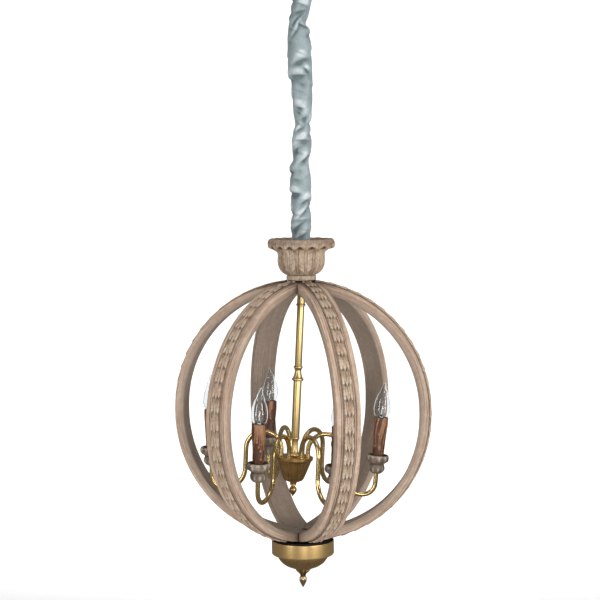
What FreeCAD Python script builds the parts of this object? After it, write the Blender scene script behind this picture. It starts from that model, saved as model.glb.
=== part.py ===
"""Orb chandelier: a bentwood cage of six ribs hung on a sleeved chain, with a six-light brass candelabra.

Millimetres. The origin is the centre of the strap's top face, on the ceiling. +Z points up into the
ceiling and everything hangs down -Z. -Y is the front and +X is the viewer's right.
"""
import FreeCAD, Part
import math
import os
from FreeCAD import Vector, Rotation, Placement

os.makedirs("parts", exist_ok=True)

# ---- clearances -------------------------------------------------------------------------------
SEAT_GAP = 0.3          # between curved pieces that hang in or pass close by each other
THREAD_GAP = 0.08       # radial, between a threaded rod and the hole that it is screwed into
SLIP_GAP = 0.3          # radial, round a rod that only passes through
GLUE_GAP = 0.1          # between a glued moulding and the rib under it
SWING_GAP = 2.5         # between the cloth sleeve's ends and the links that swing past them
DISC_TO_BAND = 5.6      # from the steel disc's edge to the outside of the brass cup's band

# ---- ceiling fitting --------------------------------------------------------------------------
STRAP_L, STRAP_W, STRAP_T = 106.0, 22.0, 2.5
BOX_SCREW_SPACING = 88.9
BOX_SCREW_R = 2.3
NIPPLE_R = 4.9
NIPPLE_BORE_R = 1.9
NUT_ACROSS, NUT_H = 19.0, 5.0
CANOPY_R, CANOPY_H, CANOPY_WALL = 63.5, 31.0, 1.2
CANOPY_LIP = 4.0
CANOPY_TOP_R = 15.0
COLLAR_R, COLLAR_H = 12.5, 11.0
LOOP_R, LOOP_WIRE_R = 9.75, 2.75
LOOP_BOSS_R, LOOP_BOSS_H = 8.0, 9.0
LOOP_BITE = 2.0         # how far the loop's ring runs up into its boss

# ---- chain and cloth sleeve -------------------------------------------------------------------
LINK_COUNT = 28
LINK_WIRE_R = 2.25
LINK_W, LINK_L = 18.0, 30.0
SLEEVE_FOLDS = 7        # folds round the sleeve
SLEEVE_FOLD_DEPTH = 2.6
SLEEVE_TWIST = 28.0     # degrees that the folds turn from one gather to the next
# share of the length from the top, sideways lean of the cloth, half width
SLEEVE_GATHERS = [(0.0, 0.0, 19.5), (0.05, 0.5, 22.0), (0.075, -3.0, 19.0), (0.12, -1.0, 27.0),
                  (0.2, -1.0, 28.0), (0.35, -0.5, 28.0), (0.41, 2.5, 23.0), (0.48, 2.5, 24.0),
                  (0.52, 4.0, 17.6), (0.57, 2.0, 20.5), (0.62, 0.5, 23.5), (0.68, -0.5, 20.0),
                  (0.76, -1.5, 24.0), (0.86, -0.5, 23.0), (0.93, 0.0, 23.5), (1.0, 0.0, 22.5)]

# ---- orb --------------------------------------------------------------------------------------
RIB_COUNT = 6
RIB_FIRST_AZIMUTH = 20.0    # turned from the front, towards the viewer's right
RIB_R = 267.5               # outer face, centre of each quarter arc to wood
RIB_STRAIGHT = 8.0          # straight run at the equator, which makes the orb a little taller than wide
RIB_W, RIB_T = 52.0, 19.0
RIB_MITRE_GAP = 1.2         # between two ribs where they meet at the poles
RIB_HOLE_R = 10.0           # the ribs' points stop here, round the rod
BEAD_GROOVE_W, BEAD_GROOVE_D = 2.4, 1.4
GARLAND_W, GARLAND_T = 22.0, 4.2
GARLAND_CHAMFER = 1.2
GARLAND_TOP_R, GARLAND_END_R = 31.0, 63.0    # where each garland starts and ends, out from the axis
PLATE_R, PLATE_T = 28.0, 3.0
RIB_SCREW_R, RIB_SCREW_L = 2.1, 14.0
RIB_SCREW_HEAD_R, RIB_SCREW_HEAD_T = 3.6, 1.8
RIB_SCREW_CIRCLE_R = 20.0

# ---- carved cup on top, as radii and heights above its foot --------------------------------------
CUP_FOOT_R, CUP_FOOT_H = 30.0, 9.5
CUP_NECK_R = 28.0
CUP_BODY_R = 50.3
CUP_BODY_LOW, CUP_BODY_HIGH = 29.0, 52.0
CUP_LIP_R, CUP_LIP_LOW, CUP_LIP_MID, CUP_H = 71.0, 65.0, 76.0, 86.0
CUP_WALL, CUP_FLOOR = 9.0, 14.0
CUP_LEAVES = 8
CUP_NOTCH_R = 5.0
ROD_R = 4.9
HANG_BOSS_H = 7.0

# ---- brass cup below ------------------------------------------------------------------------
BAND_R, BAND_H, BAND_WALL = 65.6, 29.0, 1.2
DISC_R, DISC_T = BAND_R - DISC_TO_BAND, 5.0
BAND_DROP = 2.7             # from the ribs' lowest face to the band's open edge
BOWL_R, BOWL_STEP = 54.0, 3.5
BOWL_H = 33.0
PETALS = 8
PETAL_R, PETAL_H = 15.5, 16.0
PETAL_NOTCH_R = 2.0
TIE_NUT_ACROSS, TIE_NUT_H = 11.0, 4.0
ACORN_R, ACORN_H = 8.4, 24.5

# ---- candelabra, in its own upright frame with z = 0 at the stem's top ----------------------------
ORB_ROOM_R = RIB_R - RIB_T  # the stem and the arms take shares of this, so that they fit any orb
STEM_LEAN = 2.75            # degrees; the stem hangs askew in its coupling, foot to the viewer's left
STEM_DROP = 1.2             # from the ribs' inner face to the stem's top
FERRULE_R, FERRULE_BORE_R, FERRULE_L = 8.3, 6.4, 27.0
COLLAR_RING_R, COLLAR_RING_H = 9.9, 4.5
UPPER_TUBE_R, UPPER_TUBE_L = 7.6, 0.509 * ORB_ROOM_R
KNUCKLE_R, KNUCKLE_WAIST_R, KNUCKLE_FOOT_R, KNUCKLE_L = 9.8, 6.9, 12.4, 31.0
LOWER_TUBE_R, LOWER_TUBE_L = 8.6, 0.477 * ORB_ROOM_R
BASE_RING_R, BASE_WAIST_R, BASE_FLARE_R, BASE_L = 9.4, 6.4, 12.2, 41.0
HUB_R, HUB_PLATE_T = 39.5, 3.0
BOWL_RIM_T = 4.5
BOWL_FOOT_R, BOWL_TAPER_H = 21.0, 44.0
BOWL_NECK_R, BOWL_NECK_H = 7.0, 10.0
HUB_BOWL_WALL = 2.5
FLUTES, FLUTE_R, FLUTE_D = 10, 6.0, 1.0
FLUTE_FIRST_AZIMUTH = 12.0
BALL_R, BALL_TIP = 8.0, 24.0
TIE_ROD_R = 3.0
ARM_AZIMUTHS = [-92.0, -24.5, 29.0, 88.0, 144.0, -161.0]    # each arm was set by hand
ARM_TUBE_R = 5.0
ARM_START_R = 28.0
ARM_RISE = 13.0
ARM_ARCH_R = 0.149 * ORB_ROOM_R
ARM_DOWN = 0.175 * ORB_ROOM_R
ARM_SWEEP_R, ARM_RETURN_R = 0.175 * ORB_ROOM_R, 0.1066 * ORB_ROOM_R
ARM_NUT_ACROSS, ARM_NUT_H = 13.0, 4.0
ARM_END_BELOW_NUT = 1.0
CANDLE_LEAN = 2.5           # degrees outwards
CANDLE_PIPE_L = 21.0        # straight end of the arm up to the cup's foot
PAN_H, PAN_R = 40.0, 24.4
PAN_FOOT_R, PAN_BULB_R, PAN_WAIST_R = 9.0, 16.6, 14.4
PAN_FLOOR, PAN_SEAT_R, PAN_MOUTH_R = 18.0, 12.7, 20.0     # the candle stands on the floor
SLEEVE_R, SLEEVE_MID_R, SLEEVE_TOP_R = 12.0, 13.0, 15.2
SLEEVE_L, SLEEVE_WALL = 100.5, 1.6
SOCKET_R, SOCKET_BORE_R = 11.0, 6.9
SOCKET_POST_WALL = 2.6
SOCKET_UNDER_CAP = 2.0      # contact space under the bulb's cap
SOCKET_BELOW_CANDLE = 1.5   # from the candle's top down to the lampholder's top
SOCKET_PIPE_L = 30.0        # of the arm's end above the cup's foot, inside the candle
CAP_R, CAP_L = 6.5, 22.0
BULB_R, BULB_FOOT_R, BULB_L = 17.6, 10.6, 76.0


# ---- helpers ----------------------------------------------------------------------------------
def ring_profile(points):
    """Revolve a closed outline of (radius, height) points, straight between them, about Z."""
    wire = Part.makePolygon([Vector(r, 0, z) for r, z in points + points[:1]])
    return Part.Face(wire).revolve(Vector(0, 0, 0), Vector(0, 0, 1), 360)


def smooth_profile(curve, back):
    """Revolve an outline whose outer side is one smooth curve through (radius, height) points.

    back lists the points that close it, in order from the curve's end to its start.
    """
    spline = Part.BSplineCurve()
    spline.interpolate([Vector(r, 0, z) for r, z in curve])
    outline = [spline.toShape()]
    corners = [curve[-1]] + back + [curve[0]]
    for a, b in zip(corners, corners[1:]):
        outline.append(Part.LineSegment(Vector(a[0], 0, a[1]), Vector(b[0], 0, b[1])).toShape())
    face = Part.Face(Part.Wire(outline))
    return face.revolve(Vector(0, 0, 0), Vector(0, 0, 1), 360)


def tube(radius, bore, low, high):
    """Upright round tube between two heights; a bore of 0 makes it a bar."""
    body = Part.makeCylinder(radius, high - low, Vector(0, 0, low))
    if bore > 0:
        body = body.cut(Part.makeCylinder(bore, high - low, Vector(0, 0, low)))
    return body


def hex_nut(across, height, bore, low):
    """Hexagonal nut standing on height low, with its bore on Z."""
    corner = across / math.sqrt(3)
    points = [Vector(corner * math.cos(math.radians(60 * k)), corner * math.sin(math.radians(60 * k)), low)
              for k in range(6)]
    nut = Part.Face(Part.makePolygon(points + points[:1])).extrude(Vector(0, 0, height))
    return nut.cut(Part.makeCylinder(bore, height, Vector(0, 0, low)))


def turned(shape, azimuth):
    """Copy of a shape built in the -Y half plane, turned to an azimuth from the front."""
    copy = shape.copy()
    copy.rotate(Vector(0, 0, 0), Vector(0, 0, 1), azimuth)
    return copy


def raised(shape, height):
    """Copy of a shape moved up by height."""
    copy = shape.copy()
    copy.translate(Vector(0, 0, height))
    return copy


def save(name, shape):
    """Write one named piece, or one group of like pieces, and report its solids."""
    solids = shape.Solids
    shape = solids[0] if len(solids) == 1 else Part.makeCompound(solids)
    if not shape.isValid():
        raise RuntimeError(name + " is not a valid solid")
    shape.exportStep("parts/" + name + ".step")
    print(name, len(solids), round(shape.Volume))


# ---- ceiling fitting --------------------------------------------------------------------------
NIPPLE_LOW = -(CANOPY_H + COLLAR_H + LOOP_BOSS_H * 0.6)
COLLAR_LOW = -(CANOPY_H + COLLAR_H)
LOOP_CENTRE = COLLAR_LOW - LOOP_BOSS_H - LOOP_R - LOOP_WIRE_R + LOOP_BITE


def canopy_strap():
    """Flat crossbar under the ceiling box, with two box screw holes and a threaded centre hole."""
    bar = Part.makeBox(STRAP_L, STRAP_W, STRAP_T, Vector(-STRAP_L / 2, -STRAP_W / 2, -STRAP_T))
    for x in (-BOX_SCREW_SPACING / 2, BOX_SCREW_SPACING / 2):
        bar = bar.cut(Part.makeCylinder(BOX_SCREW_R, STRAP_T, Vector(x, 0, -STRAP_T)))
    return bar.cut(Part.makeCylinder(NIPPLE_R + THREAD_GAP, STRAP_T, Vector(0, 0, -STRAP_T)))


def canopy_dome():
    """Spun metal canopy: a straight lip at the ceiling, a domed wall and a flat round its centre hole."""
    mid_r = (CANOPY_R + CANOPY_TOP_R) / 2 + 8
    curve = [(CANOPY_R, -CANOPY_LIP), (mid_r, -CANOPY_H * 0.62), (CANOPY_TOP_R, -CANOPY_H)]
    hole = NIPPLE_R + SLIP_GAP
    inner = [(r - CANOPY_WALL * 0.7, z + CANOPY_WALL) for r, z in reversed(curve)]
    outline = [(CANOPY_R, 0)] + curve + [(hole, -CANOPY_H), (hole, -CANOPY_H + CANOPY_WALL)]
    outline += inner + [(CANOPY_R - CANOPY_WALL, 0)]
    return ring_profile(outline)


def loop_ring(plane_normal):
    """Round ring centred on the origin, facing along plane_normal."""
    return Part.makeTorus(LOOP_R, LOOP_WIRE_R, Vector(0, 0, 0), plane_normal)


def canopy_loop():
    """Ring with a threaded boss that screws up on to the nipple and holds the chain."""
    boss = tube(LOOP_BOSS_R, 0, COLLAR_LOW - LOOP_BOSS_H, COLLAR_LOW)
    ring = raised(loop_ring(Vector(0, 1, 0)), LOOP_CENTRE)
    part = boss.fuse(ring)
    thread = NIPPLE_LOW - THREAD_GAP
    return part.cut(Part.makeCylinder(NIPPLE_R + THREAD_GAP, -thread, Vector(0, 0, thread)))


def build_ceiling_fitting():
    save("canopy_strap", canopy_strap())
    save("canopy_nipple", tube(NIPPLE_R, NIPPLE_BORE_R, NIPPLE_LOW, 0))
    save("canopy_lock_nut", hex_nut(NUT_ACROSS, NUT_H, NIPPLE_R + THREAD_GAP, -STRAP_T - NUT_H))
    save("canopy_dome", canopy_dome())
    save("canopy_collar", tube(COLLAR_R, NIPPLE_R + THREAD_GAP, COLLAR_LOW, -CANOPY_H))
    save("canopy_loop", canopy_loop())


# ---- chain and cloth sleeve -------------------------------------------------------------------
LINK_REACH = LINK_L - 2 * LINK_WIRE_R                       # between the centres of a link's end wires
LINK_STEP = LINK_REACH - (2 * LINK_WIRE_R + SEAT_GAP)
FIRST_LINK_TOP = LOOP_CENTRE - LOOP_R + LOOP_WIRE_R + LINK_WIRE_R + SEAT_GAP
SECOND_LINK_TOP = FIRST_LINK_TOP - LINK_STEP
LAST_LINK_TOP = FIRST_LINK_TOP - (LINK_COUNT - 1) * LINK_STEP
HANG_RING_TOP = LAST_LINK_TOP - LINK_REACH + LINK_WIRE_R + LOOP_WIRE_R + SEAT_GAP
SLEEVE_TOP = FIRST_LINK_TOP - LINK_REACH - LINK_WIRE_R - SWING_GAP
SLEEVE_LOW = LAST_LINK_TOP + LINK_WIRE_R + SWING_GAP
SLEEVE_BORE_R = LINK_W / 2 + SEAT_GAP


def chain_link(top, across):
    """Oval wire link hanging down from the centre of its top wire, lying in the plane of across and Z."""
    bend = LINK_W / 2 - LINK_WIRE_R
    straight = LINK_REACH - 2 * bend
    upper = Vector(0, 0, top - bend)
    lower = Vector(0, 0, top - bend - straight)
    side = across * bend
    rise = Vector(0, 0, bend)
    path = Part.Wire([Part.Arc(upper - side, upper + rise, upper + side).toShape(),
                      Part.LineSegment(upper + side, lower + side).toShape(),
                      Part.Arc(lower + side, lower - rise, lower - side).toShape(),
                      Part.LineSegment(lower - side, upper - side).toShape()])
    section = Part.Wire([Part.makeCircle(LINK_WIRE_R, upper - side, Vector(0, 0, 1))])
    return path.makePipeShell([section], True, False)


def sleeve_section(z, lean, half_width, twist):
    """Closed outline of the gathered cloth at one height: crests and valleys joined by arcs."""
    points = []
    steps = 4 * SLEEVE_FOLDS
    for k in range(steps):
        wave = math.cos(2 * math.pi * k / 4)
        radius = half_width - SLEEVE_FOLD_DEPTH * (1 - wave) / 2
        angle = 2 * math.pi * k / steps + math.radians(twist)
        points.append(Vector(lean + radius * math.cos(angle), radius * math.sin(angle), z))
    arcs = []
    for k in range(0, steps, 2):
        arcs.append(Part.Arc(points[k - 1], points[k], points[(k + 1) % steps]).toShape())
    return Part.Wire(arcs)


def fabric_sleeve():
    """Ruched cloth tube over the chain: twisting folds between gathers, bored to clear the links."""
    length = SLEEVE_TOP - SLEEVE_LOW
    sections = []
    for place, (share, lean, half_width) in enumerate(SLEEVE_GATHERS):
        sections.append(sleeve_section(SLEEVE_TOP - share * length, lean, half_width, place * SLEEVE_TWIST))
    cloth = Part.makeLoft(sections, True, True)
    return cloth.cut(Part.makeCylinder(SLEEVE_BORE_R, length + 2, Vector(0, 0, SLEEVE_LOW - 1)))


def build_chain():
    sideways, forwards = Vector(1, 0, 0), Vector(0, 1, 0)
    links = []
    for k in range(LINK_COUNT):
        links.append(chain_link(FIRST_LINK_TOP - k * LINK_STEP, sideways if k % 2 else forwards))
    save("top_link", links[0])
    save("chain_links", Part.makeCompound(links[1:-1]))
    save("bottom_link", links[-1])
    save("fabric_sleeve", fabric_sleeve())


# ---- orb heights, all from the ring that hangs in the last link -----------------------------------
HANG_RING_CENTRE = HANG_RING_TOP - LOOP_R
HANG_BOSS_LOW = HANG_RING_CENTRE - LOOP_R - LOOP_WIRE_R + LOOP_BITE - HANG_BOSS_H
CUP_FLOOR_TOP = HANG_BOSS_LOW - NUT_H
CUP_FOOT = CUP_FLOOR_TOP - CUP_FLOOR
RIB_POLE_TOP = CUP_FOOT - PLATE_T
ORB_CENTRE = RIB_POLE_TOP - RIB_R - RIB_STRAIGHT / 2
RIB_POLE_LOW = ORB_CENTRE - RIB_R - RIB_STRAIGHT / 2
RIB_INNER_TOP = RIB_POLE_TOP - RIB_T
STEM_TOP = RIB_INNER_TOP - STEM_DROP
ROD_LOW = STEM_TOP - FERRULE_L * 0.6


def hang_loop():
    """Ring on a round boss, screwed on to the top of the rod inside the carved cup."""
    boss = tube(LOOP_BOSS_R, 0, HANG_BOSS_LOW, HANG_BOSS_LOW + HANG_BOSS_H)
    part = boss.fuse(raised(loop_ring(Vector(1, 0, 0)), HANG_RING_CENTRE))
    return part.cut(Part.makeCylinder(ROD_R + THREAD_GAP, HANG_BOSS_H * 0.7, Vector(0, 0, HANG_BOSS_LOW)))


def top_cup():
    """Turned cup under its carving: foot ring, bellied body, rolled lip with notches between the leaves."""
    curve = [(CUP_NECK_R, CUP_FOOT_H), (CUP_BODY_R * 0.87, CUP_BODY_LOW * 0.6), (CUP_BODY_R, CUP_BODY_LOW),
             (CUP_BODY_R, CUP_BODY_HIGH), (CUP_LIP_R * 0.83, CUP_LIP_LOW + 1), (CUP_LIP_R, CUP_LIP_MID),
             (CUP_LIP_R - 3, CUP_H - 1), (CUP_LIP_R - 8, CUP_H)]
    hole = ROD_R + SLIP_GAP
    inner_r = CUP_BODY_R - CUP_WALL
    back = [(inner_r + 3, CUP_LIP_LOW), (inner_r, CUP_BODY_LOW), (inner_r - 8, CUP_FLOOR), (hole, CUP_FLOOR),
            (hole, 0), (CUP_FOOT_R, 0), (CUP_FOOT_R + 0.8, CUP_FOOT_H / 2), (CUP_FOOT_R, CUP_FOOT_H)]
    cup = smooth_profile(curve, back)
    for k in range(CUP_LEAVES):
        notch = Part.makeCylinder(CUP_NOTCH_R, CUP_LIP_MID - CUP_LIP_LOW + 2,
                                  Vector(0, -CUP_LIP_R - 1.5, CUP_LIP_LOW - 2))
        cup = cup.cut(turned(notch, 360 * (k + 0.5) / CUP_LEAVES))
    return raised(cup, CUP_FOOT)


def arc_band(outer, thickness, profile):
    """Half-orb strip: the section profile(outer, thickness) swept down an arc, a straight and an arc."""
    section = profile(outer, thickness)
    half = RIB_STRAIGHT / 2
    centre_line = Vector(0, 0, 0)
    upper = section.copy()
    upper = upper.revolve(centre_line, Vector(1, 0, 0), -90)
    upper.translate(Vector(0, 0, half))
    lower = section.copy().revolve(centre_line, Vector(1, 0, 0), 90)
    lower.translate(Vector(0, 0, -half))
    waist = section.copy()
    waist.translate(Vector(0, 0, -half))
    waist = waist.extrude(Vector(0, 0, RIB_STRAIGHT))
    return upper.fuse([waist, lower]).removeSplitter()


def rib_section(outer, thickness):
    """Rib's cross section on the equator, at the front: flat bar with two bead grooves."""
    half, groove = RIB_W / 2, GARLAND_W / 2 + 1.0
    g_in, g_out = groove, groove + BEAD_GROOVE_W
    g_mid = (g_in + g_out) / 2
    deep = outer - BEAD_GROOVE_D
    front = [(-half, outer), (-g_out, outer), (-g_mid, deep), (-g_in, outer),
             (g_in, outer), (g_mid, deep), (g_out, outer), (half, outer)]
    points = [Vector(x, -y, 0) for x, y in front + [(half, outer - thickness), (-half, outer - thickness)]]
    return Part.Face(Part.makePolygon(points + points[:1]))


def garland_section(outer, thickness):
    """Garland's cross section: a low moulding with chamfered shoulders."""
    half = GARLAND_W / 2
    inner = outer - thickness
    front = [(-half, inner), (-half, outer - GARLAND_CHAMFER), (-half * 0.6, outer),
             (half * 0.6, outer), (half, outer - GARLAND_CHAMFER), (half, inner)]
    points = [Vector(x, -y, 0) for x, y in front]
    return Part.Face(Part.makePolygon(points + points[:1]))


def rib():
    """One bentwood rib at the front, mitred to a point at both poles to meet its neighbours."""
    band = arc_band(RIB_R, RIB_T, rib_section)
    reach = RIB_R + 10
    tall = 2 * RIB_R + RIB_STRAIGHT
    half_angle = math.radians(180 / RIB_COUNT)
    tip = RIB_MITRE_GAP / 2 / math.sin(half_angle)
    side = (reach - tip) * math.tan(half_angle)
    wedge = Part.Face(Part.makePolygon([Vector(0, -tip, -tall / 2), Vector(side, -reach, -tall / 2),
                                        Vector(-side, -reach, -tall / 2), Vector(0, -tip, -tall / 2)]))
    band = band.common(wedge.extrude(Vector(0, 0, tall)))
    band = band.cut(Part.makeCylinder(RIB_HOLE_R, tall, Vector(0, 0, -tall / 2)))
    pilot = RIB_SCREW_R + THREAD_GAP
    depth = RIB_SCREW_L - PLATE_T + SEAT_GAP
    pole = RIB_R + RIB_STRAIGHT / 2
    for low, length in ((pole - depth, depth), (-pole, RIB_SCREW_L - DISC_T + SEAT_GAP)):
        band = band.cut(Part.makeCylinder(pilot, length, Vector(0, -RIB_SCREW_CIRCLE_R, low)))
    return band


def garland():
    """Carved moulding glued along a rib's outer face, stopping short of both poles."""
    inner_r = RIB_R + GLUE_GAP
    band = arc_band(inner_r + GARLAND_T, GARLAND_T, garland_section)
    tall = inner_r + GARLAND_T + RIB_STRAIGHT
    band = band.cut(Part.makeCylinder(GARLAND_TOP_R, tall, Vector(0, 0, 0)))
    return band.cut(Part.makeCylinder(GARLAND_END_R, tall, Vector(0, 0, -tall)))


def screw_group(head_face, tip_direction, head_out):
    """Round-head wood screws on the rib circle; the heads sit on head_face and point away."""
    screws = []
    for k in range(RIB_COUNT):
        shank = Part.makeCylinder(RIB_SCREW_R, RIB_SCREW_L, Vector(0, -RIB_SCREW_CIRCLE_R, head_face),
                                  Vector(0, 0, tip_direction))
        head = Part.makeCylinder(RIB_SCREW_HEAD_R, RIB_SCREW_HEAD_T,
                                 Vector(0, -RIB_SCREW_CIRCLE_R, head_face), Vector(0, 0, head_out))
        screws.append(turned(shank.fuse(head), RIB_FIRST_AZIMUTH + k * 360 / RIB_COUNT))
    return Part.makeCompound(screws)


def screw_holes(radius, low, thickness):
    """Cutters for the rib screws' holes through a plate."""
    holes = []
    for k in range(RIB_COUNT):
        hole = Part.makeCylinder(radius, thickness, Vector(0, -RIB_SCREW_CIRCLE_R, low))
        holes.append(turned(hole, RIB_FIRST_AZIMUTH + k * 360 / RIB_COUNT))
    return holes


def drilled_plate(radius, low, thickness, bore):
    """Round steel plate with a centre bore and the ribs' screw holes."""
    plate = tube(radius, bore, low, low + thickness)
    return plate.cut(screw_holes(RIB_SCREW_R + THREAD_GAP, low, thickness))


def build_orb():
    save("hang_loop", hang_loop())
    rod_top = HANG_BOSS_LOW + HANG_BOSS_H * 0.7 - THREAD_GAP
    save("top_rod", tube(ROD_R, NIPPLE_BORE_R, ROD_LOW, rod_top))
    save("cup_nut", hex_nut(NUT_ACROSS, NUT_H, ROD_R + THREAD_GAP, CUP_FLOOR_TOP))
    cup = top_cup()
    head_room = RIB_SCREW_HEAD_T + SEAT_GAP
    cup = cup.cut(screw_holes(RIB_SCREW_HEAD_R + SEAT_GAP, CUP_FOOT, head_room))
    save("top_cup", cup)
    save("top_plate", drilled_plate(PLATE_R, RIB_POLE_TOP, PLATE_T, ROD_R + THREAD_GAP))
    save("top_rib_screws", screw_group(CUP_FOOT, -1, 1))
    one_rib, one_garland = rib(), garland()
    for k in range(RIB_COUNT):
        azimuth = RIB_FIRST_AZIMUTH + k * 360 / RIB_COUNT
        save("rib_%d" % (k + 1), raised(turned(one_rib, azimuth), ORB_CENTRE))
        save("garland_%d" % (k + 1), raised(turned(one_garland, azimuth), ORB_CENTRE))


# ---- brass cup below ------------------------------------------------------------------------
DISC_LOW = RIB_POLE_LOW - DISC_T
BAND_TOP = RIB_POLE_LOW - BAND_DROP
BAND_LOW = BAND_TOP - BAND_H
BOWL_LOW = BAND_LOW - BOWL_H
PETAL_LOW = BOWL_LOW - PETAL_H
ACORN_TOP = PETAL_LOW
ACORN_LOW = ACORN_TOP - ACORN_H
TIE_TOP = RIB_POLE_LOW + RIB_T * 0.6


def bottom_cup():
    """Spun brass cup: upright band, small step and a bowl drawn in to the petal collar."""
    hole = TIE_ROD_R + SLIP_GAP
    wall = BAND_WALL
    outside = [(BAND_R, BAND_TOP), (BAND_R, BAND_LOW), (BAND_R - 2.5, BAND_LOW - 1.2),
               (BOWL_R, BAND_LOW - BOWL_STEP), (BOWL_R * 0.9, BAND_LOW - BOWL_H * 0.42),
               (BOWL_R * 0.73, BAND_LOW - BOWL_H * 0.7), (BOWL_R * 0.5, BAND_LOW - BOWL_H * 0.89),
               (PETAL_R, BOWL_LOW), (hole, BOWL_LOW)]
    inside = [(hole, BOWL_LOW + wall), (PETAL_R - wall * 0.4, BOWL_LOW + wall),
              (BOWL_R * 0.5 - wall * 0.7, BAND_LOW - BOWL_H * 0.89 + wall),
              (BOWL_R * 0.73 - wall, BAND_LOW - BOWL_H * 0.7 + wall),
              (BOWL_R * 0.9 - wall, BAND_LOW - BOWL_H * 0.42 + wall * 0.6),
              (BOWL_R - wall, BAND_LOW - BOWL_STEP + wall), (BAND_R - wall, BAND_LOW + wall),
              (BAND_R - wall, BAND_TOP)]
    return ring_profile(outside + inside)


def petal_collar():
    """Cast collar of petals that narrows to the acorn, notched between its petals."""
    hole = TIE_ROD_R + SLIP_GAP
    collar = ring_profile([(hole, BOWL_LOW - SEAT_GAP), (PETAL_R * 0.95, BOWL_LOW - SEAT_GAP),
                           (PETAL_R, BOWL_LOW - PETAL_H * 0.1), (PETAL_R * 0.84, BOWL_LOW - PETAL_H * 0.36),
                           (PETAL_R * 0.5, BOWL_LOW - PETAL_H * 0.62), (PETAL_R * 0.38, PETAL_LOW),
                           (hole, PETAL_LOW)])
    for k in range(PETALS):
        notch = Part.makeCylinder(PETAL_NOTCH_R, PETAL_H, Vector(0, -PETAL_R, PETAL_LOW))
        collar = collar.cut(turned(notch, 360 * k / PETALS))
    return collar


def acorn_finial():
    """Turned acorn that screws on to the tie rod and holds the brass cup up."""
    bore_depth = ACORN_H * 0.4
    curve = [(ACORN_R * 0.62, ACORN_TOP), (ACORN_R, ACORN_TOP - ACORN_H * 0.3),
             (ACORN_R * 0.72, ACORN_TOP - ACORN_H * 0.6), (ACORN_R * 0.2, ACORN_TOP - ACORN_H * 0.93),
             (0, ACORN_LOW)]
    acorn = smooth_profile(curve, [(0, ACORN_TOP)])
    return acorn.cut(Part.makeCylinder(TIE_ROD_R + THREAD_GAP, bore_depth, Vector(0, 0, ACORN_TOP - bore_depth)))


def build_bottom():
    bore = TIE_ROD_R + THREAD_GAP
    save("bottom_disc", drilled_plate(DISC_R, DISC_LOW, DISC_T, bore))
    save("bottom_rib_screws", screw_group(DISC_LOW, 1, -1))
    save("tie_rod", tube(TIE_ROD_R, 0, ACORN_TOP - ACORN_H * 0.4 + THREAD_GAP, TIE_TOP))
    nut = hex_nut(TIE_NUT_ACROSS, TIE_NUT_H, bore, DISC_LOW - TIE_NUT_H)
    save("tie_rod_nuts", Part.makeCompound([nut, raised(nut, DISC_T + TIE_NUT_H)]))
    save("bottom_cup", bottom_cup())
    save("petal_collar", petal_collar())
    save("acorn_finial", acorn_finial())


# ---- candelabra, built upright and leaned as one -------------------------------------------------
COLLAR_RING_TOP = -FERRULE_L
UPPER_TOP = COLLAR_RING_TOP - COLLAR_RING_H
KNUCKLE_TOP = UPPER_TOP - UPPER_TUBE_L
LOWER_TOP = KNUCKLE_TOP - KNUCKLE_L
BASE_TOP = LOWER_TOP - LOWER_TUBE_L
HUB_TOP = BASE_TOP - BASE_L
BOWL_TOP = HUB_TOP - HUB_PLATE_T
BOWL_TAPER_LOW = BOWL_TOP - BOWL_RIM_T - BOWL_TAPER_H
BOWL_BOTTOM = BOWL_TAPER_LOW - BOWL_NECK_H
STEM_BORE_R = 4.6


def lean(shape):
    """Place a piece of the upright candelabra: hung from the stem's top and leaned with the stem."""
    copy = shape.copy()
    copy.Placement = Placement(Vector(0, 0, STEM_TOP), Rotation(Vector(0, 1, 0), STEM_LEAN)).multiply(copy.Placement)
    return copy


def stem_ferrule():
    """Turned ferrule that hangs loosely on the rod, with a collar where the upper tube screws in."""
    return ring_profile([(FERRULE_BORE_R, 0), (FERRULE_R, 0), (FERRULE_R, COLLAR_RING_TOP),
                         (COLLAR_RING_R, COLLAR_RING_TOP - 0.8), (COLLAR_RING_R, UPPER_TOP + 0.8),
                         (UPPER_TUBE_R, UPPER_TOP), (STEM_BORE_R, UPPER_TOP), (STEM_BORE_R, COLLAR_RING_TOP),
                         (FERRULE_BORE_R, COLLAR_RING_TOP)])


def stem_knuckle():
    """Turned knuckle between the tubes: ring, waist and a wider foot ring."""
    low = KNUCKLE_TOP - KNUCKLE_L
    return ring_profile([(STEM_BORE_R, KNUCKLE_TOP), (KNUCKLE_R, KNUCKLE_TOP - 0.5), (KNUCKLE_R, KNUCKLE_TOP - 3.5),
                         (KNUCKLE_WAIST_R, KNUCKLE_TOP - 6.5), (KNUCKLE_WAIST_R, KNUCKLE_TOP - 13),
                         (KNUCKLE_R, low + 6.5), (KNUCKLE_FOOT_R, low + 5), (KNUCKLE_FOOT_R, low + 1.5),
                         (KNUCKLE_R, low), (STEM_BORE_R, low)])


def stem_base():
    """Turned foot of the stem: ring, waisted neck and a flare that stands on the hub plate."""
    return ring_profile([(STEM_BORE_R, BASE_TOP), (BASE_RING_R, BASE_TOP - 0.5), (BASE_RING_R, BASE_TOP - 3.5),
                         (BASE_WAIST_R + 0.8, BASE_TOP - 6), (BASE_WAIST_R, BASE_TOP - 17),
                         (BASE_WAIST_R + 1.6, HUB_TOP + 9), (BASE_FLARE_R, HUB_TOP + 6),
                         (BASE_FLARE_R, HUB_TOP + 2.5), (BASE_FLARE_R - 1.5, HUB_TOP), (STEM_BORE_R, HUB_TOP)])


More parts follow.
